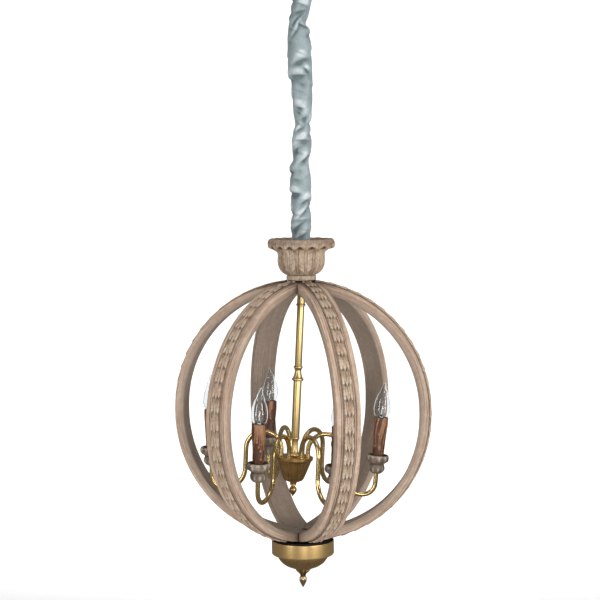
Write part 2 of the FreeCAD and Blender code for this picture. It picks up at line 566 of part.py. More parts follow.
def hub_plate():
    """Round lid of the hub, drilled for the stem's tie and for the six arms."""
    plate = tube(HUB_R, TIE_ROD_R + SLIP_GAP, HUB_TOP - HUB_PLATE_T, HUB_TOP)
    for azimuth in ARM_AZIMUTHS:
        hole = Part.makeCylinder(ARM_TUBE_R + THREAD_GAP, HUB_PLATE_T, Vector(0, -ARM_START_R, HUB_TOP - HUB_PLATE_T))
        plate = plate.cut(turned(hole, azimuth))
    return plate


def hub_bowl():
    """Cast fluted bowl under the lid: a rim, a taper with flutes and a neck for the ball finial."""
    wall, rim_low = HUB_BOWL_WALL, BOWL_TOP - BOWL_RIM_T
    hole = TIE_ROD_R + SLIP_GAP
    shoulder = HUB_R - 3
    bowl = ring_profile([(HUB_R, BOWL_TOP), (HUB_R - 0.6, rim_low + 0.8), (shoulder, rim_low),
                         (BOWL_FOOT_R + 1.5, BOWL_TAPER_LOW + 5), (BOWL_FOOT_R - 3, BOWL_TAPER_LOW),
                         (BOWL_NECK_R, BOWL_TAPER_LOW - 3), (BOWL_NECK_R, BOWL_BOTTOM), (hole, BOWL_BOTTOM),
                         (hole, BOWL_TAPER_LOW + wall), (BOWL_FOOT_R - wall - 1, BOWL_TAPER_LOW + 5 + wall),
                         (shoulder - wall - 0.6, rim_low - 1), (HUB_R - wall, rim_low + 1), (HUB_R - wall, BOWL_TOP)])
    drop = shoulder - BOWL_FOOT_R - 1.5
    run = rim_low - BOWL_TAPER_LOW - 5
    slant = Vector(0, drop, -run)
    for k in range(FLUTES):
        start = Vector(0, -shoulder - FLUTE_R + FLUTE_D, rim_low - 3)
        flute = Part.makeCylinder(FLUTE_R, slant.Length + 2, start, slant)
        bowl = bowl.cut(turned(flute, FLUTE_FIRST_AZIMUTH + 360 * k / FLUTES))
    return bowl


def hub_finial():
    """Ball finial with a point, screwed on to the tie below the bowl."""
    curve = [(BALL_R * 0.45, BOWL_BOTTOM), (BALL_R * 0.5, BOWL_BOTTOM - 2), (BALL_R, BOWL_BOTTOM - BALL_TIP * 0.42),
             (BALL_R * 0.7, BOWL_BOTTOM - BALL_TIP * 0.72), (BALL_R * 0.25, BOWL_BOTTOM - BALL_TIP * 0.93),
             (0, BOWL_BOTTOM - BALL_TIP)]
    ball = smooth_profile(curve, [(0, BOWL_BOTTOM)])
    depth = BALL_TIP * 0.4
    return ball.cut(Part.makeCylinder(TIE_ROD_R + THREAD_GAP, depth, Vector(0, 0, BOWL_BOTTOM - depth)))


ARM_REACH = ARM_START_R + 2 * ARM_ARCH_R + ARM_SWEEP_R      # out to the bottom of the loop
ARM_END_DIRECTION = Vector(0, -math.sin(math.radians(CANDLE_LEAN)), math.cos(math.radians(CANDLE_LEAN)))


def arm_point(out, height):
    """Point of an arm at the front, from its distance out and its height over the hub's lid."""
    return Vector(0, -out, HUB_TOP + height)


def candle_foot():
    """Where the arm's straight end leaves its last arc."""
    turn = math.radians(CANDLE_LEAN)
    centre_height = ARM_RISE - ARM_DOWN - ARM_SWEEP_R + ARM_RETURN_R
    return arm_point(ARM_REACH + ARM_RETURN_R * math.cos(turn), centre_height - ARM_RETURN_R * math.sin(turn))


def arm():
    """Bent brass tube: up from the hub, over an arch, down and round under to the candle cup."""
    start_low = -HUB_PLATE_T - ARM_NUT_H - ARM_END_BELOW_NUT
    inner, outer = ARM_START_R, ARM_START_R + 2 * ARM_ARCH_R
    knee = ARM_RISE - ARM_DOWN
    bottom = knee - ARM_SWEEP_R
    slant = math.sqrt(0.5)
    half = math.radians(90 - CANDLE_LEAN) / 2
    foot = candle_foot()
    centre_height = bottom + ARM_RETURN_R
    middle = arm_point(ARM_REACH + ARM_RETURN_R * math.sin(half), centre_height - ARM_RETURN_R * math.cos(half))
    tip = foot + ARM_END_DIRECTION * (CANDLE_PIPE_L + SOCKET_PIPE_L)
    top = arm_point(inner + ARM_ARCH_R, ARM_RISE + ARM_ARCH_R)
    over = ARM_ARCH_R * slant
    left = arm_point(inner + ARM_ARCH_R - over, ARM_RISE + over)
    right = arm_point(inner + ARM_ARCH_R + over, ARM_RISE + over)
    sweep = arm_point(ARM_REACH - ARM_SWEEP_R * slant, knee - ARM_SWEEP_R * slant)
    path = Part.Wire([Part.LineSegment(arm_point(inner, start_low), arm_point(inner, ARM_RISE)).toShape(),
                      Part.Arc(arm_point(inner, ARM_RISE), left, top).toShape(),
                      Part.Arc(top, right, arm_point(outer, ARM_RISE)).toShape(),
                      Part.LineSegment(arm_point(outer, ARM_RISE), arm_point(outer, knee)).toShape(),
                      Part.Arc(arm_point(outer, knee), sweep, arm_point(ARM_REACH, bottom)).toShape(),
                      Part.Arc(arm_point(ARM_REACH, bottom), middle, foot).toShape(),
                      Part.LineSegment(foot, tip).toShape()])
    section = Part.Wire([Part.makeCircle(ARM_TUBE_R, arm_point(inner, start_low), Vector(0, 0, 1))])
    return path.makePipeShell([section], True, False)


def on_candle(shape, height):
    """Put a piece built upright on the candle's axis, height above the cup's foot."""
    copy = shape.copy()
    base = candle_foot() + ARM_END_DIRECTION * (CANDLE_PIPE_L + height)
    tilt = Placement(base, Rotation(Vector(1, 0, 0), CANDLE_LEAN))
    copy.Placement = tilt.multiply(copy.Placement)
    return copy


def candle_cup():
    """Turned cup and drip pan: rounded foot, waist and a rolled pan with a seat for the candle."""
    hole = ARM_TUBE_R + THREAD_GAP
    return ring_profile([(hole, 0), (PAN_FOOT_R, 0), (PAN_FOOT_R + 4.5, 3), (PAN_BULB_R, 9), (PAN_BULB_R, 14),
                         (PAN_WAIST_R, 20), (PAN_WAIST_R + 1, 23), (PAN_R - 4, 26), (PAN_R - 0.8, 29),
                         (PAN_R, 33), (PAN_R - 1, 37.5), (PAN_R - 3, PAN_H), (PAN_MOUTH_R, PAN_H - 1),
                         (PAN_SEAT_R + 2, PAN_H - 8), (PAN_SEAT_R, PAN_FLOOR + 10), (PAN_SEAT_R, PAN_FLOOR),
                         (hole, PAN_FLOOR)])


CANDLE_LOW = PAN_FLOOR + SEAT_GAP
CANDLE_TOP = CANDLE_LOW + SLEEVE_L
SOCKET_TOP = CANDLE_TOP - SOCKET_BELOW_CANDLE
CAP_LOW = SOCKET_TOP - CAP_L + SEAT_GAP


def candle_sleeve():
    """Drip-candle sleeve: an open tube that widens to its top."""
    wall, top = SLEEVE_WALL, SLEEVE_L
    edge = 1.2
    return ring_profile([(SLEEVE_R, 0), (SLEEVE_MID_R, top * 0.5), (SLEEVE_TOP_R, top * 0.85),
                         (SLEEVE_TOP_R, top - edge), (SLEEVE_TOP_R - edge, top), (SLEEVE_TOP_R - edge - wall, top),
                         (SLEEVE_TOP_R - edge - wall, top * 0.85), (SLEEVE_MID_R - wall, top * 0.5),
                         (SLEEVE_R - wall, 0)])


def lampholder():
    """Candle lampholder: a cup for the bulb's cap on a post that screws on to the arm's end."""
    post_r = ARM_TUBE_R + THREAD_GAP
    outer_r = post_r + SOCKET_POST_WALL
    shell_floor = CAP_LOW - SOCKET_UNDER_CAP
    pipe_end = SOCKET_PIPE_L + SEAT_GAP
    return ring_profile([(post_r, CANDLE_LOW), (outer_r, CANDLE_LOW), (outer_r, shell_floor - 12),
                         (SOCKET_R, shell_floor - 8), (SOCKET_R, SOCKET_TOP), (SOCKET_BORE_R, SOCKET_TOP),
                         (SOCKET_BORE_R, shell_floor), (0, shell_floor), (0, pipe_end), (post_r, pipe_end)])


def bulb():
    """Candle bulb: threaded cap and a glass flame with a point, as two solids."""
    cap = tube(CAP_R, 0, 0, CAP_L)
    low = CAP_L + GLUE_GAP
    curve = [(BULB_FOOT_R, low + 1), (BULB_FOOT_R + 3.2, low + 4), (BULB_R, low + 18), (BULB_R * 0.93, low + 30),
             (BULB_R * 0.62, low + 47), (BULB_R * 0.28, low + 62), (BULB_R * 0.1, low + BULB_L - 4),
             (0, low + BULB_L)]
    glass = smooth_profile(curve, [(0, low), (CAP_R, low)])
    return Part.makeCompound([cap, glass])


def build_candelabra():
    save("stem_ferrule", lean(stem_ferrule()))
    save("stem_upper_tube", lean(tube(UPPER_TUBE_R, STEM_BORE_R, KNUCKLE_TOP, UPPER_TOP)))
    save("stem_knuckle", lean(stem_knuckle()))
    save("stem_lower_tube", lean(tube(LOWER_TUBE_R, STEM_BORE_R, BASE_TOP, LOWER_TOP)))
    save("stem_base", lean(stem_base()))
    save("hub_plate", lean(hub_plate()))
    save("hub_bowl", lean(hub_bowl()))
    save("hub_finial", lean(hub_finial()))
    tie_top = HUB_TOP + 14
    save("hub_tie", lean(tube(TIE_ROD_R, 0, BOWL_BOTTOM - BALL_TIP * 0.4 + THREAD_GAP, tie_top)))
    nut = hex_nut(ARM_NUT_ACROSS, ARM_NUT_H, ARM_TUBE_R + THREAD_GAP, BOWL_TOP - ARM_NUT_H)
    nut.translate(Vector(0, -ARM_START_R, 0))
    save("arm_nuts", lean(Part.makeCompound([turned(nut, azimuth) for azimuth in ARM_AZIMUTHS])))
    one_arm = arm()
    cup, sleeve = on_candle(candle_cup(), 0), on_candle(candle_sleeve(), CANDLE_LOW)
    holder, lamp = on_candle(lampholder(), 0), on_candle(bulb(), CAP_LOW)
    for k, azimuth in enumerate(ARM_AZIMUTHS):
        save("arm_%d" % (k + 1), lean(turned(one_arm, azimuth)))
        save("bulb_%d" % (k + 1), lean(turned(lamp, azimuth)))
    save("candle_cups", lean(Part.makeCompound([turned(cup, azimuth) for azimuth in ARM_AZIMUTHS])))
    save("candle_sleeves", lean(Part.makeCompound([turned(sleeve, azimuth) for azimuth in ARM_AZIMUTHS])))
    save("lampholders", lean(Part.makeCompound([turned(holder, azimuth) for azimuth in ARM_AZIMUTHS])))


build_ceiling_fitting()
build_chain()
build_orb()
build_bottom()
build_candelabra()
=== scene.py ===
"""Orb chandelier, dressed: a carved limed-wood orb, ruched cloth over its chain, and a six-light candelabra.

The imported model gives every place. Sizes below are in millimetres, in the same frame as the model:
the origin is on the ceiling, +Z is up, -Y is the front and +X is the viewer's right.
"""

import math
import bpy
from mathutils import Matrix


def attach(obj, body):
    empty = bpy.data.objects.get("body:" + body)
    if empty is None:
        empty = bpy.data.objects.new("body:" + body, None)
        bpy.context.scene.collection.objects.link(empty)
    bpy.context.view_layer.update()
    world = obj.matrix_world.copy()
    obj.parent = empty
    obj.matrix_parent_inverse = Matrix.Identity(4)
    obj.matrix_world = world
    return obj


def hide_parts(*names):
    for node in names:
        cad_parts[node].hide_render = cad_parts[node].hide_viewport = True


bl_info = {
    "name": "Orb chandelier",
    "version": (1, 0, 0),
    "blender": (4, 5, 0),
    "location": "View3D > Sidebar > Chandelier",
    "description": "Builds the visible pieces and finishes of an orb chandelier on its packed model",
    "category": "Object",
}

import bmesh
import bpy
import numpy as np
from mathutils import Matrix

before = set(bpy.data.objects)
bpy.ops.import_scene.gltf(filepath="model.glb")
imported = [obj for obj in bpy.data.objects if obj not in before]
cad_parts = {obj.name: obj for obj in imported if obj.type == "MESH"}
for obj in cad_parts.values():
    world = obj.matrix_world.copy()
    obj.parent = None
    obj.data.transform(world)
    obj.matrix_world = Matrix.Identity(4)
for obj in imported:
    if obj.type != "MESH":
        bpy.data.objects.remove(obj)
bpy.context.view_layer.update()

MM = 0.001

# ---- heights on the orb's axis --------------------------------------------------------------------
ORB_CENTRE = -965.8
RIB_OUTER_R, RIB_T, RIB_HALF_STRAIGHT = 267.5, 19.0, 4.0
RIB_AZIMUTHS = [20.0 + 60.0 * k for k in range(6)]
SLEEVE_TOP, SLEEVE_LOW = -96.2, -620.1
CUP_FOOT = -691.3
BAND_TOP, BAND_LOW, BOWL_LOW = -1240.0, -1269.0, -1302.0
ACORN_TOP, ACORN_LOW = -1318.0, -1342.5
STEM_TOP, STEM_LEAN = -714.5, math.radians(2.75)

# ---- heights of the upright candelabra, from the stem's top down ------------------------------------
KNUCKLE_TOP, LOWER_TOP, FOOT_TOP, HUB_TOP, HUB_LOW = -157.99, -188.99, -307.52, -348.52, -410.02
ARM_AZIMUTHS = [-92.0, -24.5, 29.0, 88.0, 144.0, -161.0]
ARM_START, ARM_RISE, ARCH_R, ARM_DOWN, SWEEP_R, RETURN_R = 28.0, 13.0, 37.03, 43.49, 43.49, 26.49
ARM_R, CANDLE_LEAN, CANDLE_PIPE = 5.0, math.radians(2.5), 21.0

# ---- heights over a candle cup's foot ----------------------------------------------------------------
CANDLE_LOW, CANDLE_H = 18.3, 100.5
CAP_LOW, CAP_H = 95.6, 22.0


# ---- how finely the largest pieces are divided -------------------------------------------------------
RIB_ROWS, GARLAND_ROWS, GARLAND_COLUMNS = 190, 690, 45
CARVED_CUP_SIDES, BRASS_CUP_SIDES, RUFFLE_SIDES, HUB_BOWL_SIDES = 480, 160, 240, 320
CLOTH_ROWS, CLOTH_SIDES = 440, 108
CANDLE_ROWS, CANDLE_SIDES, BORE_ROWS, CANDLE_CUP_SIDES = 124, 96, 12, 120


# ---- meshes from grids ----------------------------------------------------------------------------
def surface(points, wrap=(False, False), caps=(False, False), relief=1.0, tone=0.0, finish=0, flip=False):
    """One sheet of points (rows, columns, xyz). Its outside is rows' direction times columns' direction.

    caps close the first and last row to their middle point. relief and tone are numbers or grids from 0 to 1
    that the finishes read: low relief lays grime and painted shade, high relief wear and painted highlights, and
    high tone greyer wood with painted shade. The uv is the distance in metres along the middle column and along
    the widest row.
    """
    points = np.asarray(points, dtype=np.float64)
    rows, cols = points.shape[:2]
    middle = points[:, cols // 2]
    widest = points[np.argmax(np.linalg.norm(points - points.mean(axis=1, keepdims=True), axis=2).max(axis=1))]
    uv = []
    for line, closed in ((middle, wrap[0]), (widest, wrap[1])):
        length = np.concatenate([[0], np.cumsum(np.linalg.norm(np.diff(line, axis=0), axis=1))])
        if closed:
            length = np.append(length, length[-1] + np.linalg.norm(line[0] - line[-1]))
        uv.append(length * MM)
    relief, tone = (np.broadcast_to(np.asarray(values, float), (rows, cols)) for values in (relief, tone))
    return {"points": points, "wrap": wrap, "caps": caps, "finish": finish, "flip": flip,
            "uv": np.stack(np.meshgrid(*uv, indexing="ij"), axis=-1), "relief": relief, "tone": tone}


def faces_of(part):
    """A surface as flat arrays: corners, then faces as corner numbers, face sizes, uvs, relief and tone.

    A quad joins each point to the next row's and the next column's, and a cap is triangles to its row's mean.
    """
    rows, cols = part["points"].shape[:2]
    r, c = np.meshgrid(np.arange(rows if part["wrap"][0] else rows - 1),
                       np.arange(cols if part["wrap"][1] else cols - 1), indexing="ij")
    order = [(0, 0), (1, 0), (1, 1), (0, 1)]
    if part["flip"]:
        order = order[::-1]
    quads = np.stack([((r + a) % rows) * cols + (c + b) % cols for a, b in order], -1).reshape(-1, 4)
    faces, sizes = [quads.reshape(-1)], [np.full(len(quads), 4)]
    uvs = [np.stack([part["uv"][r + a, c + b] for a, b in order], -2).reshape(-1, 2)]
    corners = [part["points"].reshape(-1, 3)]
    relief, tone = [part["relief"].reshape(-1)], [part["tone"].reshape(-1)]
    total = rows * cols
    for last, wanted in enumerate(part["caps"]):
        if not wanted:
            continue
        row = rows - 1 if last else 0
        ring = row * cols + np.arange(cols)
        following = np.roll(ring, -1)
        turn = (not last) != part["flip"]
        trio = (np.full(cols, total), ring, following) if turn else (np.full(cols, total), following, ring)
        faces.append(np.stack(trio, -1).reshape(-1))
        sizes.append(np.full(cols, 3))
        uvs.append(np.repeat(part["uv"][row, :1], cols * 3, axis=0))
        corners.append(part["points"][row].mean(axis=0, keepdims=True))
        relief.append(part["relief"][row].mean(keepdims=True))
        tone.append(part["tone"][row].mean(keepdims=True))
        total += 1
    return [np.concatenate(arrays) for arrays in (corners, faces, sizes, uvs, relief, tone)]


def build(name, surfaces, finishes, body, stands_for=(), sharp=40.0, merge=0.0):
    """Join surfaces into one piece, as whole arrays, and tell the frame what it rides on and stands for."""
    gathered, kinds, before = [], [], 0
    for part in surfaces:
        arrays = faces_of(part)
        arrays[1] = arrays[1] + before
        before += len(arrays[0])
        gathered.append(arrays)
        kinds.append(np.full(len(arrays[2]), part["finish"]))
    corners, faces, sizes, uvs, relief, tone = (np.concatenate(arrays) for arrays in zip(*gathered))
    mesh = bpy.data.meshes.new(name)
    mesh.vertices.add(len(corners))
    mesh.vertices.foreach_set("co", (corners * MM).reshape(-1))
    mesh.loops.add(len(faces))
    mesh.loops.foreach_set("vertex_index", faces.astype(np.int32))
    mesh.polygons.add(len(sizes))
    mesh.polygons.foreach_set("loop_start", np.concatenate([[0], np.cumsum(sizes)[:-1]]).astype(np.int32))
    mesh.polygons.foreach_set("material_index", np.concatenate(kinds).astype(np.int32))
    mesh.update(calc_edges=True)
    mesh.validate()
    mesh.uv_layers.new(name="surface").data.foreach_set("uv", uvs.reshape(-1))
    for label, values in (("relief", relief), ("tone", tone)):
        mesh.attributes.new(label, "FLOAT", "POINT").data.foreach_set("value", values)
    if merge:
        work = bmesh.new()
        work.from_mesh(mesh)
        bmesh.ops.remove_doubles(work, verts=work.verts, dist=merge * MM)
        bmesh.ops.dissolve_degenerate(work, edges=work.edges, dist=merge * MM * 0.5)
        work.to_mesh(mesh)
        work.free()
    mesh.polygons.foreach_set("use_smooth", np.ones(len(mesh.polygons), dtype=bool))
    mesh.set_sharp_from_angle(angle=math.radians(sharp))
    for kind in finishes:
        mesh.materials.append(finish(kind))
    piece = bpy.data.objects.new(name, mesh)
    bpy.context.scene.collection.objects.link(piece)
    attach(piece, body)
    if stands_for:
        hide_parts(*stands_for)
    return piece


def rounded(outline, step=1.0):
    """Smooth open curve through the outline's points: a Catmull-Rom spline, sampled about every step."""
    p = np.asarray(outline, float)
    p = np.concatenate([[2 * p[0] - p[1]], p, [2 * p[-1] - p[-2]]])
    out = []
    for a, b, c, d in zip(p, p[1:], p[2:], p[3:]):
        count = max(2, int(np.linalg.norm(c - b) / step))
        t = np.linspace(0, 1, count, endpoint=False)[:, None]
        squared, cubed = 2 * a - 5 * b + 4 * c - d, 3 * b - a - 3 * c + d
        out.append(0.5 * (2 * b + (c - a) * t + squared * t ** 2 + cubed * t ** 3))
    return np.concatenate(out + [p[-2:-1]])


def softened(outline, radius=0.5, arc=3):
    """Polyline with each corner replaced by a short quadratic arc that starts radius before it."""
    p = np.asarray(outline, float)
    out = [p[:1]]
    for a, b, c in zip(p, p[1:], p[2:]):
        r1 = min(radius, np.linalg.norm(b - a) * 0.45)
        r2 = min(radius, np.linalg.norm(c - b) * 0.45)
        first = b + (a - b) / max(np.linalg.norm(a - b), 1e-9) * r1
        last = b + (c - b) / max(np.linalg.norm(c - b), 1e-9) * r2
        t = np.linspace(0, 1, arc + 2)[:, None]
        out.append((1 - t) ** 2 * first + 2 * t * (1 - t) * b + t ** 2 * last)
    return np.concatenate(out + [p[-1:]])


def full_turn(count):
    """Angles round a circle, in equal steps."""
    return np.arange(count) * 2 * math.pi / count


def round_points(r, a, z):
    """Points at distance r from the Z axis, angle a from the front and height z: x = r sin a, y = -r cos a."""
    return np.stack(np.broadcast_arrays(r * np.sin(a), -r * np.cos(a), z), axis=-1)


def round_axis(points):
    """The reverse of round_points: each point's distance from the Z axis, angle from the front, and height."""
    x, y, z = np.moveaxis(points, -1, 0)
    return np.hypot(x, y), np.arctan2(x, -y), z


def widened(points, scale):
    """Points with their distance from the Z axis scaled."""
    return points * np.stack([scale, scale, np.ones_like(scale)], axis=-1)


def lathe(outline, sides=96, closed=False, **facts):
    """A (radius, height) outline turned about Z. Its outside faces outwards where the outline goes down."""
    outline = np.asarray(outline, float)
    return surface(round_points(outline[:, :1], full_turn(sides), outline[:, 1:]), wrap=(closed, True), **facts)


def carried(path, radius, sides=16, **facts):
    """Round section carried along a path: at each point a circle square to the path, without twist."""
    path = np.asarray(path, float)
    along = np.gradient(path, axis=0)
    along /= np.linalg.norm(along, axis=1, keepdims=True)
    side = np.zeros_like(path)
    guide = np.array([1.0, 0, 0]) if abs(along[0, 0]) < 0.9 else np.array([0, 1.0, 0])
    for k, t in enumerate(along):
        guide = guide - t * guide.dot(t)
        guide /= np.linalg.norm(guide)
        side[k] = guide
    other = np.cross(along, side)
    a = full_turn(sides)
    ring = side[:, None] * np.cos(a)[None, :, None] + other[:, None] * np.sin(a)[None, :, None]
    return surface(path[:, None] + radius * ring, wrap=(False, True), flip=True, **facts)


def turned(points, azimuth):
    """Points made at the front, turned about Z by an azimuth in degrees."""
    a = math.radians(azimuth)
    x, y, z = np.moveaxis(np.asarray(points, float), -1, 0)
    return np.stack([x * math.cos(a) - y * math.sin(a), x * math.sin(a) + y * math.cos(a), z], axis=-1)


def raised(points, height):
    """Points moved up."""
    return np.asarray(points, float) + np.array([0, 0, height])


def leaned(points):
    """Points of the upright candelabra, turned about Y by the stem's lean and hung from the stem's top."""
    x, y, z = np.moveaxis(np.asarray(points, float), -1, 0)
    c, s = math.cos(STEM_LEAN), math.sin(STEM_LEAN)
    return np.stack([x * c + z * s, y, -x * s + z * c + STEM_TOP], axis=-1)


def on_candle(points, azimuth):
    """Points built upright over a candle cup's foot, leaned outwards and set on that arm."""
    x, y, z = np.moveaxis(np.asarray(points, float), -1, 0)
    c, s = math.cos(CANDLE_LEAN), math.sin(CANDLE_LEAN)
    reach = ARM_START + 2 * ARCH_R + SWEEP_R + RETURN_R * c
    foot = HUB_TOP + ARM_RISE - ARM_DOWN - SWEEP_R + RETURN_R - RETURN_R * s
    z = z + CANDLE_PIPE
    return leaned(turned(np.stack([x, y * c - z * s - reach, y * s + z * c + foot], axis=-1), azimuth))


def moved(part, change, *more):
    """A surface with its points changed by a function of them."""
    return dict(part, points=change(part["points"], *more))


def bump_wave(x, sharpness):
    """Rounded ridges between narrow valleys: one less the absolute sine, to a power."""
    return (1 - np.abs(np.sin(x))) ** sharpness


def bell(x, width):
    """Smooth bump of height one that falls to about a third at that width from its middle."""
    return np.exp(-(x / width) ** 2)


def smooth(low, high, x):
    """Smooth step from 0 at low to 1 at high."""
    t = np.clip((x - low) / (high - low), 0, 1)
    return t * t * (3 - 2 * t)


def clump(x, y, seed):
    """Soft repeatable unevenness from about -1 to 1: five sines in turned directions with a seed's phases."""
    rng = np.random.default_rng(seed)
    total = 0
    for k in range(5):
        turn, phase = rng.uniform(0, 2 * math.pi, 2)
        scale = 1.0 + 0.55 * k
        total = total + np.sin(scale * (x * math.cos(turn) + y * math.sin(turn)) + phase) / (1 + 0.5 * k)
    return total / 2.4


# ---- finishes: node helpers -----------------------------------------------------------------------
def feed(tree, socket, value):
    """Link a socket to another socket, or give it a plain value."""
    if isinstance(value, bpy.types.NodeSocket):
        tree.links.new(value, socket)
    else:
        socket.default_value = value


def put(tree, kind, values=None, **settings):
    """Add a node, set its settings, and give its inputs values or links."""
    node = tree.nodes.new(kind)
    for key, value in settings.items():
        setattr(node, key, value)
    for key, value in (values or {}).items():
        feed(tree, node.inputs[key], value)
    return node


def math_node(tree, operation, a, b):
    """Output of one Math node."""
    return put(tree, "ShaderNodeMath", {0: a, 1: b}, operation=operation).outputs[0]


def times(tree, a, b):
    """Output of a Math node that multiplies."""
    return math_node(tree, "MULTIPLY", a, b)


def stretched(tree, vector, counts):
    """A vector times another, as a pattern's own place."""
    return put(tree, "ShaderNodeVectorMath", {0: vector, 1: counts}, operation="MULTIPLY").outputs[0]


def noise(tree, vector, scale, **values):
    """Value of a Noise Texture node."""
    return put(tree, "ShaderNodeTexNoise", {"Vector": vector, "Scale": scale, **values}).outputs[0]


def attribute(tree, name):
    """A piece's own attribute as a number."""
    return put(tree, "ShaderNodeAttribute", attribute_name=name).outputs["Fac"]


def span(tree, value, low, high, to_low=0.0, to_high=1.0):
    """Output of a Map Range node, clamped."""
    return put(tree, "ShaderNodeMapRange", {"Value": value, "From Min": low, "From Max": high,
                                            "To Min": to_low, "To Max": to_high}).outputs[0]


def blended(tree, factor, a, b):
    """Output of a colour Mix node."""
    node = put(tree, "ShaderNodeMix", data_type="RGBA", blend_type="MIX")
    feed(tree, node.inputs[0], factor)
    for index, value in ((6, a), (7, b)):
        feed(tree, node.inputs[index], value if isinstance(value, bpy.types.NodeSocket) else (*value[:3], 1.0))
    return node.outputs[2]


def laid_over(tree, body, *layers):
    """A body colour with others laid over it in turn, each by a share of its own mask."""
    for mask, share, tint in layers:
        body = blended(tree, times(tree, mask, share), body, tint)
    return body


# ---- finishes: effects that several materials share --------------------------------------------------
FLOAT, VECTOR = "NodeSocketFloat", "NodeSocketVector"


def effect(name, inputs, outputs, fill):
    """Shader node group, made once: inputs with their defaults, outputs, and fill, which joins them."""
    tree = bpy.data.node_groups.get(name)
    if tree:
        return tree
    tree = bpy.data.node_groups.new(name, "ShaderNodeTree")
    for label, kind, default in inputs:
        socket = tree.interface.new_socket(label, in_out="INPUT", socket_type=kind)
        if default is not None:
            socket.default_value = default
    for label in outputs:
        tree.interface.new_socket(label, in_out="OUTPUT", socket_type=FLOAT)
    given, out = tree.nodes.new("NodeGroupInput"), tree.nodes.new("NodeGroupOutput")
    for label, socket in fill(tree, given.outputs).items():
        tree.links.new(socket, out.inputs[label])
    return tree


def cloudy(tree, given):
    """Two sizes of noise, added and stretched to a mask."""
    big = noise(tree, given["Place"], given["Scale"], Detail=4.0, Roughness=0.6)
    finer = times(tree, given["Scale"], 5.3)
    small = noise(tree, given["Place"], finer, Detail=3.0)
    both = math_node(tree, "ADD", times(tree, big, 0.68), times(tree, small, 0.32))
    return {"Mask": span(tree, both, given["Low"], given["High"])}


def grain(tree, given):
    """Wood grain along the surface's first direction: long streaks, and short dark pores inside them."""
    place = stretched(tree, given["Along and across"], given["Counts"])
    streak = noise(tree, place, 1.0, Detail=6.0, Roughness=0.62, Distortion=0.35)
    pore = noise(tree, stretched(tree, place, (5.0, 4.2, 1.0)), 1.0, Detail=2.0)
    return {"Streaks": span(tree, streak, 0.36, 0.62), "Pores": span(tree, pore, 0.60, 0.74)}


def hollows(tree, given):
    """Grime and painted shade where the relief attribute is low, wear and painted highlights where it is high,
    broken by noise.
    """
    relief = attribute(tree, "relief")
    broken = noise(tree, given["Place"], given["Scale"], Detail=5.0)
    uneven = times(tree, math_node(tree, "SUBTRACT", broken, 0.5), given["Uneven"])
    level = math_node(tree, "ADD", relief, uneven)
    return {"Dirt": span(tree, level, given["Dirt level"], 0.05),
            "Rubbed": span(tree, level, given["Rub level"], 1.05)}


def brushing(tree, given):
    """Fine lines over the surface, as a polishing wheel leaves them round a turned piece."""
    place = stretched(tree, given["Along and across"], given["Counts"])
    line = noise(tree, place, 1.0, Detail=3.0, Roughness=0.7)
    return {"Lines": span(tree, line, 0.3, 0.7)}


PLACE, ALONG = ("Place", VECTOR, None), ("Along and across", VECTOR, None)
EFFECTS = {
    "cloudy": ("Uneven colour", [PLACE, ("Scale", FLOAT, 20.0), ("Low", FLOAT, 0.35), ("High", FLOAT, 0.65)],
               ["Mask"], cloudy),
    "grain": ("Wood grain", [ALONG, ("Counts", VECTOR, (12.0, 400.0, 1.0))], ["Streaks", "Pores"], grain),
    # hollows: grime and painted shade where relief is low, wear and painted highlights where it is high
    "hollows": ("Grime, shade, wear and highlight", [PLACE, ("Scale", FLOAT, 150.0), ("Uneven", FLOAT, 0.5),
                                  ("Dirt level", FLOAT, 0.55), ("Rub level", FLOAT, 0.8)],
                ["Dirt", "Rubbed"], hollows),
    "brushing": ("Brushed lines", [ALONG, ("Counts", VECTOR, (4000.0, 8.0, 1.0))], ["Lines"], brushing),
}


def use(tree, name, **values):
    """One of the shared effects, placed in a material with its own values."""
    node = tree.nodes.new("ShaderNodeGroup")
    node.node_tree = effect(*EFFECTS[name])
    for key, value in values.items():
        feed(tree, node.inputs[key.replace("_", " ")], value)
    return node.outputs


def clouds(tree, place, scale, low, high):
    """The uneven colour's mask at one scale."""
    return use(tree, "cloudy", Place=place, Scale=scale, Low=low, High=high)["Mask"]


def shade_and_wear_masks(tree, place, scale, uneven, dirt_and_shade_level, wear_and_highlight_level):
    """The masks of grime with painted shade, and of wear with painted highlights."""
    masks = use(tree, "hollows", Place=place, Scale=scale, Uneven=uneven,
                Dirt_level=dirt_and_shade_level, Rub_level=wear_and_highlight_level)
    return masks["Dirt"], masks["Rubbed"]


# ---- finishes: materials ----------------------------------------------------------------------------
def start(name, **fixed):
    """New material with a Principled shader whose fixed values are set on its own sockets."""
    material = bpy.data.materials.new(name)
    material.use_nodes = True
    tree = material.node_tree
    shader = tree.nodes["Principled BSDF"]
    for key, value in fixed.items():
        shader.inputs[key.replace("_", " ")].default_value = value
    place = put(tree, "ShaderNodeTexCoord").outputs["Object"]
    uv = put(tree, "ShaderNodeUVMap", uv_map="surface").outputs[0]
    return material, tree, shader, place, uv


def show(tree, shader, body, rough):
    """Feed the shader's colour, and its roughness from a mask and the roughness at the mask's two ends."""
    tree.links.new(body, shader.inputs["Base Color"])
    mask, low, high = rough
    tree.links.new(span(tree, mask, 0, 1, low, high), shader.inputs["Roughness"])


def raise_by(tree, shader, height, distance, strength, below=None):
    """Bump that feeds the shader's normal; the distance is in metres."""
    values = {"Height": height, "Distance": distance, "Strength": strength}
    if below is not None:
        values["Normal"] = below
    node = put(tree, "ShaderNodeBump", values)
    tree.links.new(node.outputs[0], shader.inputs["Normal"])
    return node.outputs[0]


